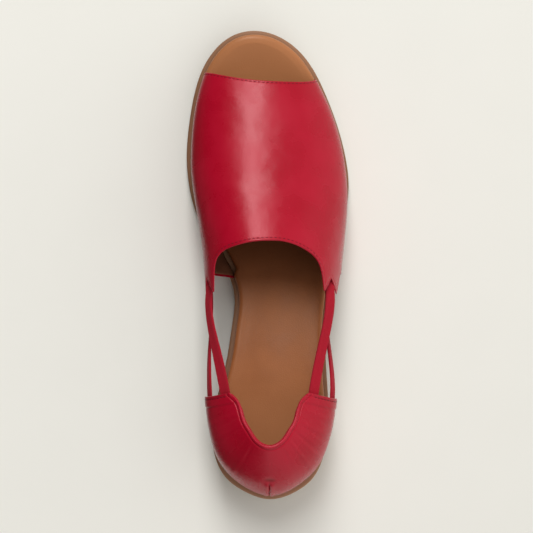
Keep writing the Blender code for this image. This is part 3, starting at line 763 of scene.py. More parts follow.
def ringed(name, around, along, form):
    """A closed body: a grid whose columns run round it and meet in a seam."""
    pattern = bmesh.new()
    pattern.loops.layers.uv.new("pattern")
    bmesh.ops.create_grid(pattern, x_segments=around, y_segments=along, size=0.5, calc_uvs=True)
    mesh = mesh_from(name, pattern)
    flat = corners_of(mesh) + 0.5
    mesh.vertices.foreach_set("co", form(flat[:, 0], flat[:, 1]).ravel())
    face_outwards(mesh, merge=True)
    return finished(name, mesh)


def groove(distance, middle, width, depth):
    """A soft groove at a distance from an edge."""
    return -depth * np.exp(-(((distance - middle) / width) ** 2))


# %% [markdown]
# ## The sole
#
# The sole is moulded in one piece: a heel block, an arch, a tread with a soft edge, a side with a
# groove under its rim, and the rounded rim on which the upper stands. It could be cut from a
# block, but a mould is a profile carried round an outline, so a grid is bent the same way: its
# columns go round the outline, and its rows go from the middle of the tread, up the side, and in
# to the middle of the top.

# %% The sole's rings
def ring_angles(count):
    """Angles round the outline, with more of them at the heel's breast."""
    half = math.pi * np.arange(count + 1) / count
    stations = np.linspace(BREAST_BACK - 0.002, BREAST_FRONT + 0.002, 15)
    near = outline_angle(stations, -1)
    half = np.sort(np.append(half[(half < near[0]) | (half > near[-1])], near))
    return np.append(half, 2.0 * math.pi - half[-2::-1])


def ring_places(angles, inset, spread):
    """Points in plan: spread is 1 on the inset outline and 0 on the middle line."""
    edge, mirrored = outline_point(angles, inset), outline_point(2.0 * math.pi - angles, inset)
    middle = (edge + mirrored) / 2.0
    return middle + (edge - middle) * spread[..., None]


SOLE_ROWS = [
    # spread, inset, share of the way from bottom to top, extra height
    (0.00, 0.0042, 0.0, 0.0),
    (0.50, 0.0042, 0.0, 0.0),
    (1.00, 0.0042, 0.0, 0.0),
    (1.00, 0.0030, 0.0, 0.0),
    (1.00, 0.0022, 0.0, 0.0002),
    (1.00, 0.0017, 0.0, 0.0006),
    (1.00, 0.0014, 0.0, 0.0012),
    (1.00, RIM_GROOVE * 0.6, 1.0, -RIM_BAND - 0.0010),
    (1.00, RIM_GROOVE * 0.85, 1.0, -RIM_BAND - 0.0006),
    (1.00, RIM_GROOVE, 1.0, -RIM_BAND - 0.0002),
    (1.00, RIM_GROOVE * 0.85, 1.0, -RIM_BAND + 0.0001),
    (1.00, RIM_GROOVE * 0.45, 1.0, -RIM_BAND + 0.0003),
    (1.00, 0.0001, 1.0, -RIM_BAND + 0.0007),
    (1.00, 0.0, 1.0, -0.0016),
    (1.00, 0.0, 1.0, -0.0011),
    (1.00, 0.0001, 1.0, -0.0007),
    (1.00, 0.0003, 1.0, -0.0004),
    (1.00, 0.0007, 1.0, -0.00015),
    (1.00, 0.0014, 1.0, 0.0),
    (1.00, 0.0030, 1.0, 0.0),
    (0.50, 0.0030, 1.0, 0.0),
    (0.00, 0.0030, 1.0, 0.0),
]
SOLE_ANGLES = ring_angles(200)


def sole_form(across, along):
    """Points of the sole for its grid."""
    angles = picked(SOLE_ANGLES, across)
    rows = np.array(SOLE_ROWS)
    at = along * (len(rows) - 1)
    spread, inset, share, rise = (np.interp(at, np.arange(len(rows)), row) for row in rows.T)
    station = station_at(angles)
    low, high = sole_bottom(station), sole_top(station)
    plan = ring_places(angles, inset, spread)
    return np.stack([plan[:, 0], plan[:, 1], low + (high - low) * share + rise], axis=1)


sole = ringed(
    "sole_unit", len(SOLE_ANGLES) - 1, 3 * (len(SOLE_ROWS) - 1), sole_form
)
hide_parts("outsole")

# %% [markdown]
# ## The footbed
#
# Tan leather is glued over a board and wrapped round its edge, so the edge is a soft roll with a
# crest a little way in, and the foot has pressed a shallow dish into the top. It is carried round
# the outline as the sole is.

# %% The footbed
FOOTBED_ROWS = [
    # inset from its side as a share of the roll, share of the thickness
    (0.70, 0.00),
    (0.40, 0.00),
    (0.16, 0.06),
    (0.02, 0.20),
    (0.00, 0.38),
    (0.00, 0.55),
    (0.05, 0.70),
    (0.18, 0.83),
    (0.42, 0.93),
    (0.75, 0.985),
    (1.00, 1.00),
    (1.40, 1.00),
    (2.00, 1.00),
]
FOOTBED_FILL = 16
FOOTBED_FADE = 0.012
HOLLOW = 0.0014
HOLLOW_REACH = 0.0125
FOOTBED_ANGLES = ring_angles(180)


def footbed_inset(station):
    """How far the footbed's side lies inside the sole's outline. Its leather reaches under the
    upper's edges, so the change of width stays hidden there."""
    front, counter = FRONT_ROWS[-1][1], COUNTER_ROWS[0][1]
    by_vamp = window(station, WING_FOOT, FOOTBED_FADE, front, FOOTBED_FADE)
    by_counter = ease((counter - station) / FOOTBED_FADE)
    beside_vamp = UPPER_RIM + WALL + FOOTBED_PLAY - OPEN_RIM
    beside_counter = COUNTER_RIM + WALL + FOOTBED_PLAY - OPEN_RIM
    return OPEN_RIM + beside_vamp * by_vamp + beside_counter * by_counter


def footbed_form(across, along):
    """Points of the footbed for its grid."""
    angles = picked(FOOTBED_ANGLES, across)
    rows = np.array(FOOTBED_ROWS)
    row = along * (len(rows) - 1 + 2 * FOOTBED_FILL) - FOOTBED_FILL
    inset, thick = (np.interp(row, np.arange(len(rows)), column) for column in rows.T)
    beyond = np.maximum(-row, row - (len(rows) - 1))
    spread = 1.0 - np.clip(beyond / FOOTBED_FILL, 0.0, 1.0)
    station = station_at(angles)
    plan = ring_places(angles, footbed_inset(station) + inset * FOOTBED_ROLL, spread)
    around = FOOTBED_ANGLES[:-1]
    crest_inset = footbed_inset(station_at(around)) + FOOTBED_ROLL
    crest = ring_places(around, crest_inset, np.ones(len(around)))
    deep = distance_to(plan, crest) * (inset >= 1.0) * (row > 0.0)
    hollow = HOLLOW * (1.0 - np.exp(-((deep / HOLLOW_REACH) ** 2)))
    height = sole_top(station) + GAP + thick * FOOTBED_THICKNESS - hollow
    return np.stack([plan[:, 0], plan[:, 1], height], axis=1)


footbed = ringed(
    "footbed_cover",
    len(FOOTBED_ANGLES) - 1,
    2 * (len(FOOTBED_ROWS) - 1 + 2 * FOOTBED_FILL),
    footbed_form,
)
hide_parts("insole")

# %% [markdown]
# ## The vamp
#
# Two layers make the wall. The red leather is turned in at its free edges, so they are round. A
# brown lining covers the inside and stops just short of that turned edge. Beside the throat and
# the toe opening the leather sinks into a sewn line.

# %% The vamp's leather
TURNED_EDGE = 0.0012
LEATHER_SHARE = 0.60
LINING_LAP, LINING_THIN = 0.06, 0.02
STITCH_IN = 0.0010
FRONT_STITCH_IN = 0.0006
SEAM_WIDTH = 0.0004
VAMP_SEAM_DEPTH = 0.00012
SEAM_FADE = 0.02
LINE_POINTS = 900

shares = np.linspace(0.0, 1.0, LINE_POINTS)
at_start, at_end = np.zeros(LINE_POINTS), np.ones(LINE_POINTS)
vamp_line = np.concatenate([vamp_form(shares, at_end)[0], vamp_form(shares, at_start)[0]])


def leather_of(wall_of):
    """The outer leather's share of a wall."""
    return lambda across, along, distance: wall_of(across, along) * LEATHER_SHARE


def vamp_lift(across, along, distance):
    """Sewn lines beside the front edge and the throat."""
    line = np.where(along < 0.5, FRONT_STITCH_IN, STITCH_IN)
    foot = ease(np.minimum(across, 1.0 - across) / SEAM_FADE)
    return groove(distance, line, SEAM_WIDTH, VAMP_SEAM_DEPTH) * foot


vamp = draped(
    "vamp_leather",
    [(70, WING_ENDS[0]), (150, WING_ENDS[1]), (70, 1.0)],
    [(24, 0.04), (80, 0.95), (32, 1.0)],
    vamp_form,
    leather_of(vamp_wall),
    vamp_line,
    (False, False, True, True),
    lift=vamp_lift,
)


def lining_depth(wall_of):
    """A lining's outside: it starts inside the leather and is hidden in the turned edge."""
    return lambda across, along, distance: wall_of(across, along) * (LEATHER_SHARE - LINING_LAP)


def lining_wall(wall_of):
    """A lining's thickness, thinner inside the turned edge. It ends at the wall's inside."""
    gain = 1.0 - LEATHER_SHARE + LINING_LAP - LINING_THIN

    def wall(across, along, distance):
        clear = ease((distance - 0.7 * TURNED_EDGE) / (0.3 * TURNED_EDGE))
        return wall_of(across, along) * (LINING_THIN + gain * clear)

    return wall


vamp_lining = draped(
    "vamp_lining",
    [(50, WING_ENDS[0]), (80, WING_ENDS[1]), (50, 1.0)],
    [(14, 0.04), (40, 0.95), (18, 1.0)],
    vamp_form,
    lining_wall(vamp_wall),
    vamp_line,
    (False, False, False, False),
    under=lining_depth(vamp_wall),
)
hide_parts("vamp")
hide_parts("vamp")

# %% [markdown]
# ## The counter
#
# The counter is the closed back. Its leather is turned in at both front edges, and a second line
# about 5.5 mm behind them shows where the turned part ends. At the back the leather is taken in
# by a short dart with a dimple over it, and faint creases run up its sides. A binding, a narrow
# strip folded over the edge and sewn, makes the bright roll along the topline.

# %% The counter's leather
FOLD_RISE, FOLD_RAMP = 0.0003, 0.0006
FOLD_LINE_WIDTH, FOLD_LINE_DEPTH = 0.0005, 0.0002
COUNTER_STITCH_IN = 0.0014
COUNTER_SEAM_DEPTH = 0.00022
LINE_BEHIND = 0.0002
DART_PLACE = 0.4925
DART_LOW, DART_HIGH = 0.30, 0.66
DART_RISE, DART_FALL = 0.05, 0.03
DART_WIDTH = 0.0003
DART_DEPTH = 0.0010
GATHER_HEIGHT, GATHER_BESIDE, GATHER_WIDTH = 0.0004, 0.0016, 0.0012
DIMPLE_DEPTH = 0.0005
DIMPLE_PLACE = DART_HIGH + 0.028
DIMPLE_TALL, DIMPLE_WIDE = 0.026, 0.0034
CREASE_DEPTH = 0.0001
CREASE_WAVES = [
    # turn round the heel, turn with the height, share of the depth
    (118.0, 2.0, 1.0),
    (205.0, -3.0, 0.7),
]
# start, rise, end and fall of the creases, beside the dart and up the wall
CREASE_BESIDE = (0.08, 0.10, 0.46, 0.05)
CREASE_UP = (0.42, 0.15, 0.97, 0.10)
BINDING_WIDTH = 0.0017
BINDING_GROOVE = 0.0004

counter_front = np.concatenate([counter_form(at_start, shares)[0], counter_form(at_end, shares)[0]])
topline = counter_form(shares, at_end)[0]


def creases(across, along):
    """Faint upright creases, where the leather is pulled round the bend of the heel."""
    beside = np.abs(across - DART_PLACE)
    reach = window(beside, *CREASE_BESIDE) * window(along, *CREASE_UP)
    waves = [part * np.sin(across * turn + along * lean) for turn, lean, part in CREASE_WAVES]
    return CREASE_DEPTH * sum(waves) * reach


def counter_lift(across, along, distance):
    """The turned front edges with their two lines, the dart with its dimple, the groove under
    the binding, and the creases."""
    turned = FOLD_RISE * ease((FOLD_WIDTH - distance) / FOLD_RAMP)
    sewn = groove(distance, COUNTER_STITCH_IN, SEAM_WIDTH, COUNTER_SEAM_DEPTH)
    second = groove(distance, FOLD_WIDTH + LINE_BEHIND, FOLD_LINE_WIDTH, FOLD_LINE_DEPTH)
    side = np.abs(across - DART_PLACE) / front_share(1.0)
    reach = window(along, DART_LOW, DART_RISE, DART_HIGH, DART_FALL)
    dart = -DART_DEPTH * np.exp(-((side / DART_WIDTH) ** 2)) * reach
    over = ((along - DIMPLE_PLACE) / DIMPLE_TALL) ** 2 + (side / DIMPLE_WIDE) ** 2
    dimple = -DIMPLE_DEPTH * np.exp(-over)
    gathered = np.exp(-(((side - GATHER_BESIDE) / GATHER_WIDTH) ** 2)) * reach * GATHER_HEIGHT
    below = distance_to(counter_form(across, along)[0], topline)
    sunk = groove(below, BINDING_WIDTH + LINE_BEHIND, SEAM_WIDTH, BINDING_GROOVE)
    return turned + sewn + second + dart + dimple + gathered + sunk + creases(across, along)


counter = draped(
    "counter_leather",
    [(44, 0.045), (76, 0.482), (44, 0.518), (76, 0.955), (44, 1.0)],
    [(60, 0.88), (28, 1.0)],
    counter_form,
    leather_of(counter_wall),
    counter_front,
    (True, True, False, True),
    lift=counter_lift,
)
counter_lining = draped(
    "counter_lining",
    [(22, 0.045), (110, 0.955), (22, 1.0)],
    [(40, 1.0)],
    counter_form,
    lining_wall(counter_wall),
    counter_front,
    (False, False, False, False),
    under=lining_depth(counter_wall),
)
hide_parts("counter")
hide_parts("counter")

# %% The topline's binding
BINDING_PROUD = 0.0003
BINDING_OVER = 0.0004
BINDING_SQUARE = 0.8
BINDING_END, BINDING_END_SIZE = 0.012, 0.25


def binding_form(across, along):
    """A flattened roll along the topline: across runs round the roll, along runs over the heel."""

    def squarish(wave):
        return np.sign(wave) * np.abs(wave) ** BINDING_SQUARE

    half_width = BINDING_WIDTH / 2.0
    top = counter_point(along, 1.0)
    down = unit(counter_point(along, 0.96) - top)
    normal = counter_normal(along, np.ones_like(along) * 0.99)
    wall = counter_wall(along, 1.0)
    half_wall = wall[:, None] / 2.0 + BINDING_PROUD
    middle = top + down * (half_width - BINDING_OVER) - normal * wall[:, None] / 2.0
    ending = 1.0 - ease(np.minimum(along, 1.0 - along) / BINDING_END)
    size = BINDING_END_SIZE + (1.0 - BINDING_END_SIZE) * np.sqrt(1.0 - ending**2)
    turn = across * 2.0 * math.pi
    wide = down * (squarish(np.cos(turn)) * half_width * size)[:, None]
    deep = normal * (squarish(np.sin(turn)) * size)[:, None] * half_wall
    return middle + wide + deep


binding = ringed("topline_binding", 24, 360, binding_form)
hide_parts("counter")

# %% [markdown]
# ## The straps
#
# Four bands of woven elastic are sewn behind the wings and behind the counter. Elastic of this
# kind has rubber threads along it, and the weave lies over them as fine lengthwise ribs. Each band
# is a rounded section with ribs, carried along a smooth route between its two seats.

# %% The straps
STRAP_ROWS = [
    # name, side, height on the vamp, height on the counter, depth share where it leaves, bow
    # outward, lean at the vamp, lean at the counter
    ("strap_medial_upper", -1, 0.570, 0.750, 0.45, 0.0010, 0.45, 0.20),
    ("strap_medial_lower", -1, 0.365, 0.430, 1.00, 0.0005, 0.16, 0.16),
    ("strap_lateral_upper", 1, 0.660, 0.760, 0.60, 0.0005, 0.95, 0.14),
    ("strap_lateral_lower", 1, 0.245, 0.430, 1.90, -0.0012, 0.25, 0.22),
]
RIBS = 7
RIB_DEPTH = 0.00022
COLUMN_CROWD = 1.6
SECTION_SQUARE, SECTION_ROUND = 8, 0.25
LEAN_PLACES = [0.15, 0.85]


def strap_seat(place, normal, side_way, share=1.0):
    """A strap's middle behind a thin wall, and the direction of its width."""
    depth = EDGE_WALL + GAP + STRAP_THICKNESS / 2.0 + SEAT_PLAY
    return place - normal * depth * share, unit(side_way - normal * np.dot(side_way, normal))


def vamp_seat(side, height, station, share=1.0):
    """Where a strap lies behind the vamp."""
    girth = girth_at_height(side, height, station)
    place = last_point(girth, station)
    higher = last_point(girth - 0.01 * side, station) - place
    return strap_seat(place, last_normal(girth, station), higher, share)


def counter_seat(side, height, around):
    """Where a strap lies behind the counter."""
    around = around if side < 0 else 1.0 - around
    foot = outline_point(base_angle(around))
    level = sole_top(station_of(foot[1])) + height * COUNTER_HEIGHT
    rise = crossing(0.0, 1.0, lambda r: counter_point(around, r)[2], level)
    place = counter_point(around, rise)
    higher = counter_point(around, rise + 0.01) - place
    return strap_seat(place, counter_normal(around, rise), higher)


def strap_route(side, vamp_height, counter_height, leaving, bow):
    """A strap's middle line and the direction of its width, over its length."""
    exits = [(1.0, 1.0), (0.5, 1.0), (-0.1, 1.0), (-1.1, leaving)]
    hold = STRAP_HOLD / SOLE_LENGTH
    tuck = front_share(STRAP_HOLD)
    seats = [vamp_seat(side, vamp_height, WING_FOOT + hold * at, depth) for at, depth in exits]
    seats += [counter_seat(side, counter_height, tuck * at) for at in (0.0, 0.5, 1.0)]
    left, joined = seats[len(exits) - 1], seats[len(exits)]
    middle = (left[0] + joined[0]) / 2.0 + np.array([side * bow, 0.0, 0.0])
    seats.insert(len(exits), (middle, (left[1] + joined[1]) / 2.0))
    places = [place for place, _ in seats]
    runs = running_lengths(places)
    return Smooth(runs, np.hstack([places, [across for _, across in seats]])), runs[-1]


def strap_form(route, length, leans):
    """The surface of a ribbed band along a route, leaning in at its top."""

    def form(across, along):
        at = along * length
        value = route.at(at)
        ahead = route.at(np.minimum(at + 0.0005, length)) - route.at(np.maximum(at - 0.0005, 0.0))
        forward = unit(ahead[:, :3])
        wide = value[:, 3:] - forward * (value[:, 3:] * forward).sum(axis=1, keepdims=True)
        lean = np.interp(along, LEAN_PLACES, leans)
        wide = unit(unit(wide) + lean[:, None] * np.array([1.0, 0.0, 0.0]))
        through = np.cross(forward, wide)
        turn = across * 2.0 * math.pi
        sideways = np.sign(np.cos(turn)) * (1.0 - (1.0 - np.abs(np.cos(turn))) ** COLUMN_CROWD)
        full = np.clip(1.0 - np.abs(sideways) ** SECTION_SQUARE, 0.0, 1.0) ** SECTION_ROUND
        ribs = RIB_DEPTH * np.abs(np.sin(sideways * math.pi * RIBS / 2.0))
        deep = np.sign(np.sin(turn)) * full * (STRAP_THICKNESS / 2.0 - RIB_DEPTH + ribs)
        flat = wide * (sideways * STRAP_WIDTH / 2.0)[:, None]
        return value[:, :3] + flat + through * deep[:, None]

    return form


straps = []
for name, side, on_vamp, on_counter, leaving, bow, vamp_lean, counter_lean in STRAP_ROWS:
    route, length = strap_route(side, on_vamp, on_counter, leaving, bow)
    form = strap_form(route, length, [-side * vamp_lean, -side * counter_lean])
    strap = ringed(name.replace("strap", "elastic"), 96, 150, form)
    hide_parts(name)
    straps.append(strap)
    print(name, "is", round(float(length), 4), "m long")

# %% [markdown]
# ## The stitches
#
# A sewing machine leaves short loops of thread with even gaps, pressed a little into the leather.
# Each stitch is a small stretched ball, laid along its line and half sunk in the groove that the
# leather already has there.

# %% Stitches
STITCH_PITCH = 0.0023
STITCH_LENGTH = 0.0017
THREAD_RADIUS = 0.00022
STITCH_LOOK_AHEAD = 0.0004
VAMP_SINK, COUNTER_SINK = 0.00012, -0.00016


def point_at(run, runs, rows):
    """A line's point or direction at a running length."""
    return Vector([np.interp(run, runs, column) for column in rows.T])


def inset_line(form, across, along, edge, deep):
    """Points of a form at a depth from an edge, and the outward directions there. edge names the
    pattern's direction in which the depth is measured."""
    step = 0.004
    if edge == "along":
        inner = along + np.where(along < 0.5, step, -step)
        span = np.linalg.norm(form(across, inner)[0] - form(across, along)[0], axis=1)
        return form(across, along + (inner - along) * deep / span)
    inner = across + np.where(across < 0.5, step, -step)
    span = np.linalg.norm(form(inner, along)[0] - form(across, along)[0], axis=1)
    return form(across + (inner - across) * deep / span, along)


def stitched(name, lines, sink):
    """Stitches along lines of points and outward directions."""
    thread = bmesh.new()
    for places, normals in lines:
        runs = running_lengths(places)
        for at in np.arange(STITCH_PITCH / 2.0, runs[-1], STITCH_PITCH):
            place = point_at(at, runs, places)
            normal = point_at(at, runs, normals).normalized()
            forward = (point_at(at + STITCH_LOOK_AHEAD, runs, places) - place).normalized()
            sideways = normal.cross(forward).normalized()
            turned = Matrix((forward, sideways, forward.cross(sideways))).transposed().to_4x4()
            size = Matrix.Diagonal((STITCH_LENGTH / 2.0, THREAD_RADIUS, THREAD_RADIUS * 0.8, 1.0))
            spot = Matrix.Translation(place - normal * sink)
            bmesh.ops.create_uvsphere(
                thread, u_segments=6, v_segments=5, radius=1.0, matrix=spot @ turned @ size
            )
    return finished(name, mesh_from(name, thread))


throat = np.linspace(WING_ENDS[0] + 0.02, WING_ENDS[1] - 0.02, 500)
throat_line = inset_line(vamp_form, throat, np.ones_like(throat), "along", STITCH_IN)
front = np.linspace(0.02, 0.98, 500)
front_line = inset_line(vamp_form, front, np.zeros_like(front), "along", FRONT_STITCH_IN)
vamp_stitches = stitched("vamp_stitches", [throat_line, front_line], VAMP_SINK)

rise = np.linspace(0.06, 0.90, 300)
counter_lines = [
    inset_line(counter_form, np.full_like(rise, end), rise, "across", COUNTER_STITCH_IN)
    for end in (0.0, 1.0)
]
counter_stitches = stitched("counter_stitches", counter_lines, COUNTER_SINK)

# %% [markdown]
# ## Shader groups
#
# Grain, wear and weave are each built once as a node group and used in several materials. A group
# only puts out masks and heights. The shader itself stays in the material, where its constant
# values are easy to find and change.

# %% Node helpers


def add(tree, kind, sockets=None, **settings):
    """A node with its settings, and with its inputs set or linked."""
    made = tree.nodes.new(kind)
    for name, value in settings.items():
        setattr(made, name, value)
    for name, value in (sockets or {}).items():
        if isinstance(value, bpy.types.NodeSocket):
            tree.links.new(value, made.inputs[name])
        else:
            made.inputs[name].default_value = value
    return made


def calc(tree, operation, *values):
    """A Math node's result."""
    return add(tree, "ShaderNodeMath", dict(enumerate(values)), operation=operation).outputs[0]


def vector_calc(tree, operation, *values):
    """A Vector Math node's outputs, a vector and a value."""
    return add(tree, "ShaderNodeVectorMath", dict(enumerate(values)), operation=operation).outputs


def noise(tree, place, scale, detail):
    """A Noise Texture's outputs, a value and a colour."""
    sockets = {"Vector": place, "Scale": scale, "Detail": detail}
    return add(tree, "ShaderNodeTexNoise", sockets).outputs


def axis_of(tree, vector, axis):
    """One part of a vector, where 0 is X, 1 is Y and 2 is Z."""
    return add(tree, "ShaderNodeSeparateXYZ", {0: vector}).outputs[axis]


def blend_colours(tree, factor, first, second):
    """A Mix node's colour, between sockets or red, green and blue."""
    sockets = {0: factor}
    for place, value in ((6, first), (7, second)):
        sockets[place] = value if isinstance(value, bpy.types.NodeSocket) else (*value, 1.0)
    return add(tree, "ShaderNodeMix", sockets, data_type="RGBA").outputs[2]


def remap(tree, value, low, high, new_low, new_high):
    """A value carried smoothly from one range to another."""
    sockets = {"Value": value, "From Min": low, "From Max": high}
    sockets.update({"To Min": new_low, "To Max": new_high})
    return add(tree, "ShaderNodeMapRange", sockets, interpolation_type="SMOOTHSTEP").outputs[0]


def new_group(name, inputs, outputs):
    """A node group with named sockets: its tree, its inputs and its output node."""
    group = bpy.data.node_groups.new(name, "ShaderNodeTree")
    for socket, kind, value in inputs:
        made = group.interface.new_socket(socket, in_out="INPUT", socket_type=kind)
        if value is not None:
            made.default_value = value
    for socket in outputs:
        group.interface.new_socket(socket, in_out="OUTPUT", socket_type="NodeSocketFloat")
    return group, group.nodes.new("NodeGroupInput").outputs, group.nodes.new("NodeGroupOutput")


# %% Leather grain
FLOAT = "NodeSocketFloat"
VECTOR = "NodeSocketVector"

grain, given, out = new_group(
    "leather_grain",
    [("Vector", VECTOR, None), ("Pebbles", FLOAT, 1100.0), ("Mottle Size", FLOAT, 60.0)],
    ["Height", "Mottle"],
)
wander = noise(grain, given["Vector"], 300.0, 2.0)["Color"]
shifted = vector_calc(grain, "MULTIPLY_ADD", wander, (0.0012, 0.0012, 0.0012), given["Vector"])
pebbles = add(
    grain,
    "ShaderNodeTexVoronoi",
    {"Vector": shifted[0], "Scale": given["Pebbles"]},
    feature="DISTANCE_TO_EDGE",
)
creased = remap(grain, pebbles.outputs["Distance"], 0.0, 0.35, 0.0, 1.0)
fine = noise(grain, given["Vector"], 2600.0, 3.0)[0]
broad = noise(grain, given["Vector"], given["Mottle Size"], 4.0)[0]
height = calc(grain, "MULTIPLY_ADD", fine, 0.35, calc(grain, "MULTIPLY", creased, 0.65))
grain.links.new(height, out.inputs["Height"])
grain.links.new(remap(grain, broad, 0.3, 0.7, 0.0, 1.0), out.inputs["Mottle"])
print("group:", grain.name)

# %% Edge wear
wear, given, out = new_group(
    "edge_wear",
    [("Vector", VECTOR, None), ("Distance", FLOAT, 0.01), ("Reach", FLOAT, 0.002)],
    ["Mask"],
)
patchy = noise(wear, given["Vector"], 240.0, 3.0)[0]
near = calc(wear, "SUBTRACT", 1.0, calc(wear, "DIVIDE", given["Distance"], given["Reach"]))
spot = remap(wear, patchy, 0.35, 0.65, 0.2, 1.0)
mask = calc(wear, "MULTIPLY", calc(wear, "MAXIMUM", near, 0.0), spot)
wear.links.new(mask, out.inputs["Mask"])
print("group:", wear.name)

# %% Elastic weave
FULL_TURN = 6.2832

weave, given, out = new_group(
    "elastic_weave",
    [("Vector", VECTOR, None), ("Threads Across", FLOAT, 60.0), ("Threads Along", FLOAT, 260.0)],
    ["Height", "Shade"],
)
across = axis_of(weave, given["Vector"], 0)
along = axis_of(weave, given["Vector"], 1)
turns = calc(weave, "MULTIPLY", across, calc(weave, "MULTIPLY", given["Threads Across"], FULL_TURN))
steps = calc(weave, "MULTIPLY", along, calc(weave, "MULTIPLY", given["Threads Along"], FULL_TURN))
side_wave = calc(weave, "SINE", turns)
long_wave = calc(weave, "SINE", calc(weave, "MULTIPLY_ADD", side_wave, 1.5, steps))
height = calc(weave, "MULTIPLY_ADD", calc(weave, "MULTIPLY", side_wave, long_wave), 0.5, 0.5)
weave.links.new(height, out.inputs["Height"])
weave.links.new(remap(weave, height, 0.0, 1.0, 0.0, 1.0), out.inputs["Shade"])
print("group:", weave.name)

# %% [markdown]
# ## Materials
#
# The upper is smooth red calf with a soft, rather broad sheen. The footbed is waxy tan leather,
# the lining is plain brown leather, the sole is a matt moulded rubber in the colour of stacked
# leather, and the straps are dull woven elastic. The footbed has painted shade under the vamp,
# where it is least lit, and painted light at the open toe and at the heel. The sole has painted
# light at its heel and toe.

# %% Material helpers


def new_material(name, roughness, specular=0.5, tint=(1.0, 1.0, 1.0)):
    """A material, its tree, its shader and the place on the piece."""
    material = bpy.data.materials.new(name)
    material.use_nodes = True
    tree = material.node_tree
    shader = tree.nodes["Principled BSDF"]
    shader.inputs["Roughness"].default_value = roughness
    shader.inputs["Specular IOR Level"].default_value = specular
    shader.inputs["Specular Tint"].default_value = (*tint, 1.0)
    place = add(tree, "ShaderNodeTexCoord").outputs["Object"]
    return material, tree, shader, place


def use_group(tree, group, **values):
    """A group's outputs, with its named sockets set or linked."""
    sockets = {name.replace("_", " "): value for name, value in values.items()}
    return add(tree, "ShaderNodeGroup", sockets, node_tree=group).outputs


def dress(tree, shader, tone, height, distance, strength):
    """Gives a shader its colour and its bumps."""
    tree.links.new(tone, shader.inputs["Base Color"])
    sockets = {"Height": height, "Distance": distance, "Strength": strength}
    tree.links.new(add(tree, "ShaderNodeBump", sockets).outputs[0], shader.inputs["Normal"])


def grained(tree, place, pebbles, mottle_size, dark, light):
    """The grain's outputs, and a colour that goes with its mottle from dark to light."""
    leather = use_group(tree, grain, Vector=place, Pebbles=pebbles, Mottle_Size=mottle_size)
    return leather, blend_colours(tree, leather["Mottle"], dark, light)


# %% Red leather
RED_GLOSS = (1.0, 0.62, 0.64)

red_leather, tree, shader, place = new_material("red_calf", 0.28, 0.38, RED_GLOSS)
leather, tone = grained(tree, place, 1100.0, 55.0, (0.37, 0.0025, 0.016), (0.41, 0.0035, 0.021))
edge = add(tree, "ShaderNodeAttribute", attribute_name="edge").outputs["Fac"]
worn = use_group(tree, wear, Vector=place, Distance=edge, Reach=0.0012)["Mask"]
tone = blend_colours(tree, calc(tree, "MULTIPLY", worn, 0.5), tone, (0.30, 0.002, 0.014))
# Painted shade: the red calf is made darker in the dimple over the dart.
dimple = tuple(float(part) for part in counter_point(DART_PLACE, DIMPLE_PLACE))
aside = vector_calc(tree, "SUBTRACT", place, dimple)[0]
squashed = vector_calc(tree, "MULTIPLY", aside, (0.45, 1.0, 1.0))[0]
away = vector_calc(tree, "LENGTH", squashed)["Value"]
folded = remap(tree, away, 0.0006, 0.0020, 0.75, 0.0)
tone = blend_colours(tree, folded, tone, (0.20, 0.0, 0.002))
rough = remap(tree, leather["Mottle"], 0.0, 1.0, 0.25, 0.31)
tree.links.new(rough, shader.inputs["Roughness"])
pebbled = calc(tree, "MULTIPLY_ADD", leather["Height"], 0.055, noise(tree, place, 75.0, 1.5)[0])
dress(tree, shader, tone, pebbled, 0.00045, 1.0)

# %% Red binding, thread and lining
binding_leather, tree, shader, place = new_material("red_binding", 0.36, 0.3, RED_GLOSS)
leather, tone = grained(tree, place, 1400.0, 120.0, (0.37, 0.005, 0.020), (0.46, 0.009, 0.030))
dress(tree, shader, tone, leather["Height"], 0.00005, 0.6)

thread, tree, shader, place = new_material("red_thread", 0.6, 0.2)
twist = noise(tree, place, 4000.0, 2.0)[0]
tone = blend_colours(tree, twist, (0.10, 0.003, 0.010), (0.22, 0.008, 0.02))
dress(tree, shader, tone, twist, 0.00004, 0.7)

lining, tree, shader, place = new_material("brown_lining", 0.6, 0.2)
leather, tone = grained(tree, place, 900.0, 80.0, (0.13, 0.045, 0.022), (0.19, 0.07, 0.035))
dress(tree, shader, tone, leather["Height"], 0.00005, 0.6)

# %% Tan footbed leather
tan_leather, tree, shader, place = new_material("tan_calf", 0.44, 0.24, (1.0, 0.90, 0.78))
leather, tone = grained(tree, place, 950.0, 45.0, (0.29, 0.093, 0.029), (0.35, 0.118, 0.039))
# Painted shade: the footbed is made darker under the vamp, where it is least lit.
way = axis_of(tree, place, 1)
waist_shade = remap(tree, way, -0.030, 0.022, 0.0, 0.88)
toe_light = remap(tree, way, 0.080, 0.098, 1.0, 0.0)
under_vamp_shade = calc(tree, "MULTIPLY", waist_shade, toe_light)
tone = blend_colours(tree, under_vamp_shade, tone, (0.09, 0.021, 0.004))
# Painted light: the footbed is made paler at the open toe and at the heel.
painted_toe_light = remap(tree, way, 0.084, 0.100, 0.0, 0.85)
painted_heel_light = remap(tree, way, -0.100, -0.040, 0.75, 0.0)
tone = blend_colours(tree, calc(tree, "MAXIMUM", painted_toe_light, painted_heel_light), tone, (0.43, 0.172, 0.068))
rough = remap(tree, leather["Mottle"], 0.0, 1.0, 0.34, 0.44)
rough = calc(tree, "MULTIPLY_ADD", under_vamp_shade, 0.45, rough)
tree.links.new(rough, shader.inputs["Roughness"])
dress(tree, shader, tone, leather["Height"], 0.00006, 0.6)

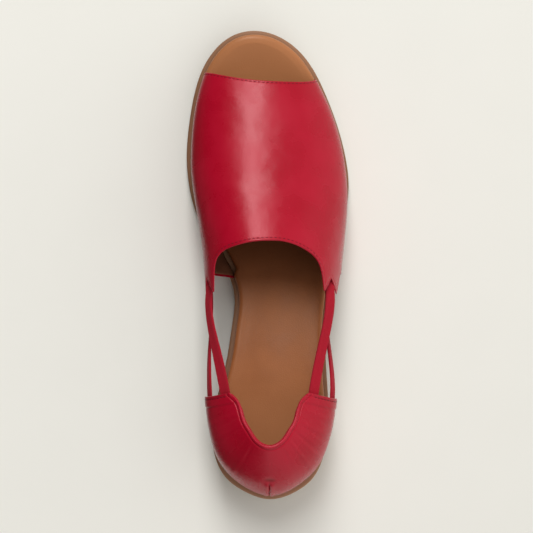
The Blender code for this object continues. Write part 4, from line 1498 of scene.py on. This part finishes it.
# %% Moulded sole
moulded, tree, shader, place = new_material("moulded_rubber", 0.55, 0.25)
drift = noise(tree, place, 40.0, 3.0)[0]
tone = blend_colours(tree, drift, (0.20, 0.095, 0.047), (0.26, 0.127, 0.064))
way = axis_of(tree, place, 1)
# Painted light: the sole is made paler at its heel and toe.
painted_heel_light = remap(tree, way, -0.115, -0.085, 1.0, 0.0)
painted_toe_light = remap(tree, way, 0.085, 0.110, 0.0, 0.5)
tone = blend_colours(tree, calc(tree, "MAXIMUM", painted_heel_light, painted_toe_light), tone, (0.36, 0.185, 0.100))
dress(tree, shader, tone, noise(tree, place, 1800.0, 4.0)[0], 0.00008, 0.6)

# %% Red elastic
elastic, tree, shader, place = new_material("red_woven_elastic", 0.75, 0.12)
shader.inputs["Sheen Weight"].default_value = 0.08
shader.inputs["Sheen Roughness"].default_value = 0.4
chart = add(tree, "ShaderNodeUVMap", uv_map="pattern").outputs[0]
woven = use_group(tree, weave, Vector=chart, Threads_Across=44.0, Threads_Along=150.0)
tone = blend_colours(tree, woven["Shade"], (0.30, 0.006, 0.016), (0.44, 0.010, 0.028))
dress(tree, shader, tone, woven["Height"], 0.00008, 0.6)

# %% Giving the materials out
for piece, material in (
    (sole, moulded),
    (footbed, tan_leather),
    (vamp, red_leather),
    (vamp_lining, lining),
    (counter, red_leather),
    (counter_lining, lining),
    (binding, binding_leather),
    (vamp_stitches, thread),
    (counter_stitches, thread),
    *((strap, elastic) for strap in straps),
):
    piece.data.materials.clear()
    piece.data.materials.append(material)
print("materials:", len(bpy.data.materials))

# %% [markdown]
# ## Floor and light
#
# A pale paper floor lies under the shoe. In the photo a second shoe stands on the medial side, and
# that flank mirrors it, so there the floor looks dark to the shoe but not to the camera. One soft
# lamp stands beyond the toe and lights the ridge of the vamp, longer than it is wide, so that its
# reflection runs as one band. The room is brightest overhead, and it is dark on the medial side,
# which leaves that flank in its own shade. Two paler walls, lateral and behind the heel, give the
# counter its broad dull sheen.

# %% Floor
FLOOR_SIZE = 6.0

paper = bmesh.new()
bmesh.ops.create_grid(paper, x_segments=1, y_segments=1, size=FLOOR_SIZE / 2.0)
floor = in_scene("paper_floor", mesh_from("paper_floor", paper))
floor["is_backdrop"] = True
floor_paper, tree, shader, place = new_material("white_paper", 0.9, 0.1)
fibre = noise(tree, place, 30.0, 3.0)[0]
tone = blend_colours(tree, fibre, (0.79, 0.78, 0.725), (0.81, 0.80, 0.745))
# Painted reflection and painted shade: beside the medial side the floor is dark to glossy rays and
# half darkened to diffuse rays, but stays pale to the camera.
rays = add(tree, "ShaderNodeLightPath").outputs
scattered = calc(tree, "MULTIPLY", rays["Is Diffuse Ray"], 0.5)
mirrored = calc(tree, "MAXIMUM", rays["Is Glossy Ray"], scattered)
beside = remap(tree, axis_of(tree, place, 0), -0.066, -0.044, 0.96, 0.0)
tone = blend_colours(tree, calc(tree, "MULTIPLY", mirrored, beside), tone, (0.03, 0.012, 0.012))
tree.links.new(tone, shader.inputs["Base Color"])
floor.data.materials.append(floor_paper)

# %% Lamp and room
LAMP_POWER = 67.0
LAMP_WAY = Vector((-0.05, 0.65, 0.76)).normalized()
LAMP_DISTANCE = 3.0
LAMP_WIDTH, LAMP_LENGTH = 0.84, 2.3
ROOM_LOW, ROOM_HIGH = 0.12, 0.72
MEDIAL_SHADE = 0.09
LATERAL_GLOW, HEEL_GLOW = 0.72, 0.75

lamp_data = bpy.data.lights.new("soft_lamp", "AREA")
lamp_data.energy = LAMP_POWER
lamp_data.shape = "RECTANGLE"
lamp_data.size, lamp_data.size_y = LAMP_WIDTH, LAMP_LENGTH
lamp = in_scene("soft_lamp", lamp_data)
lamp.location = LAMP_WAY * LAMP_DISTANCE
lamp.rotation_euler = LAMP_WAY.to_track_quat("Z", "Y").to_euler()

room = bpy.data.worlds.new("room")
room.use_nodes = True
bpy.context.scene.world = room
tree = room.node_tree
way = add(tree, "ShaderNodeTexCoord").outputs["Generated"]
sideways, lengthways, upward = (axis_of(tree, way, axis) for axis in range(3))
overhead = remap(tree, upward, 0.0, 1.0, ROOM_LOW, ROOM_HIGH)
shaded = remap(tree, sideways, -0.60, 0.0, MEDIAL_SHADE, 1.0)
low = remap(tree, upward, 0.30, 0.75, 1.0, 0.0)
wall = remap(tree, sideways, 0.40, 0.85, 0.0, LATERAL_GLOW)
rear = remap(tree, lengthways, -0.85, -0.30, HEEL_GLOW, 0.0)
lateral_wall = calc(tree, "MULTIPLY", wall, low)
glow = calc(tree, "MAXIMUM", lateral_wall, calc(tree, "MULTIPLY", rear, shaded))
strength = calc(tree, "ADD", calc(tree, "MULTIPLY", overhead, shaded), glow)
tree.links.new(strength, tree.nodes["Background"].inputs["Strength"])
tree.nodes["Background"].inputs["Color"].default_value = (1.0, 0.985, 0.96, 1.0)
bpy.context.scene.view_settings.view_transform = "Standard"
print("lamp:", tuple(round(part, 2) for part in LAMP_WAY))

# %% [markdown]
# ## The camera
#
# The photo looks straight down from a little to the shoe's medial side, with the toe up. The
# camera stands there and is turned to the shoe's middle.

# %% Camera
CAMERA_PLACE = Vector((-0.0475, -0.0016, 1.300))
CAMERA_AIM = Vector((-0.001, -0.001, 0.020))
FRAME_HEIGHT = 0.286
SENSOR = 36.0

camera_data = bpy.data.cameras.new("overhead")
camera_data.sensor_width = SENSOR
backward = CAMERA_PLACE - CAMERA_AIM
camera_data.lens = SENSOR * backward.length / FRAME_HEIGHT
backward.normalize()
right = Vector((0.0, 1.0, 0.0)).cross(backward).normalized()
camera = in_scene("overhead", camera_data)
turned = Matrix((right, backward.cross(right), backward)).transposed().to_4x4()
camera.matrix_world = Matrix.Translation(CAMERA_PLACE) @ turned
bpy.context.scene.camera = camera
print("lens:", round(camera_data.lens, 1), "mm")

# %% The visual box, and the end
low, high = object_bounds()
print("visual box:", tuple(low), tuple(high))
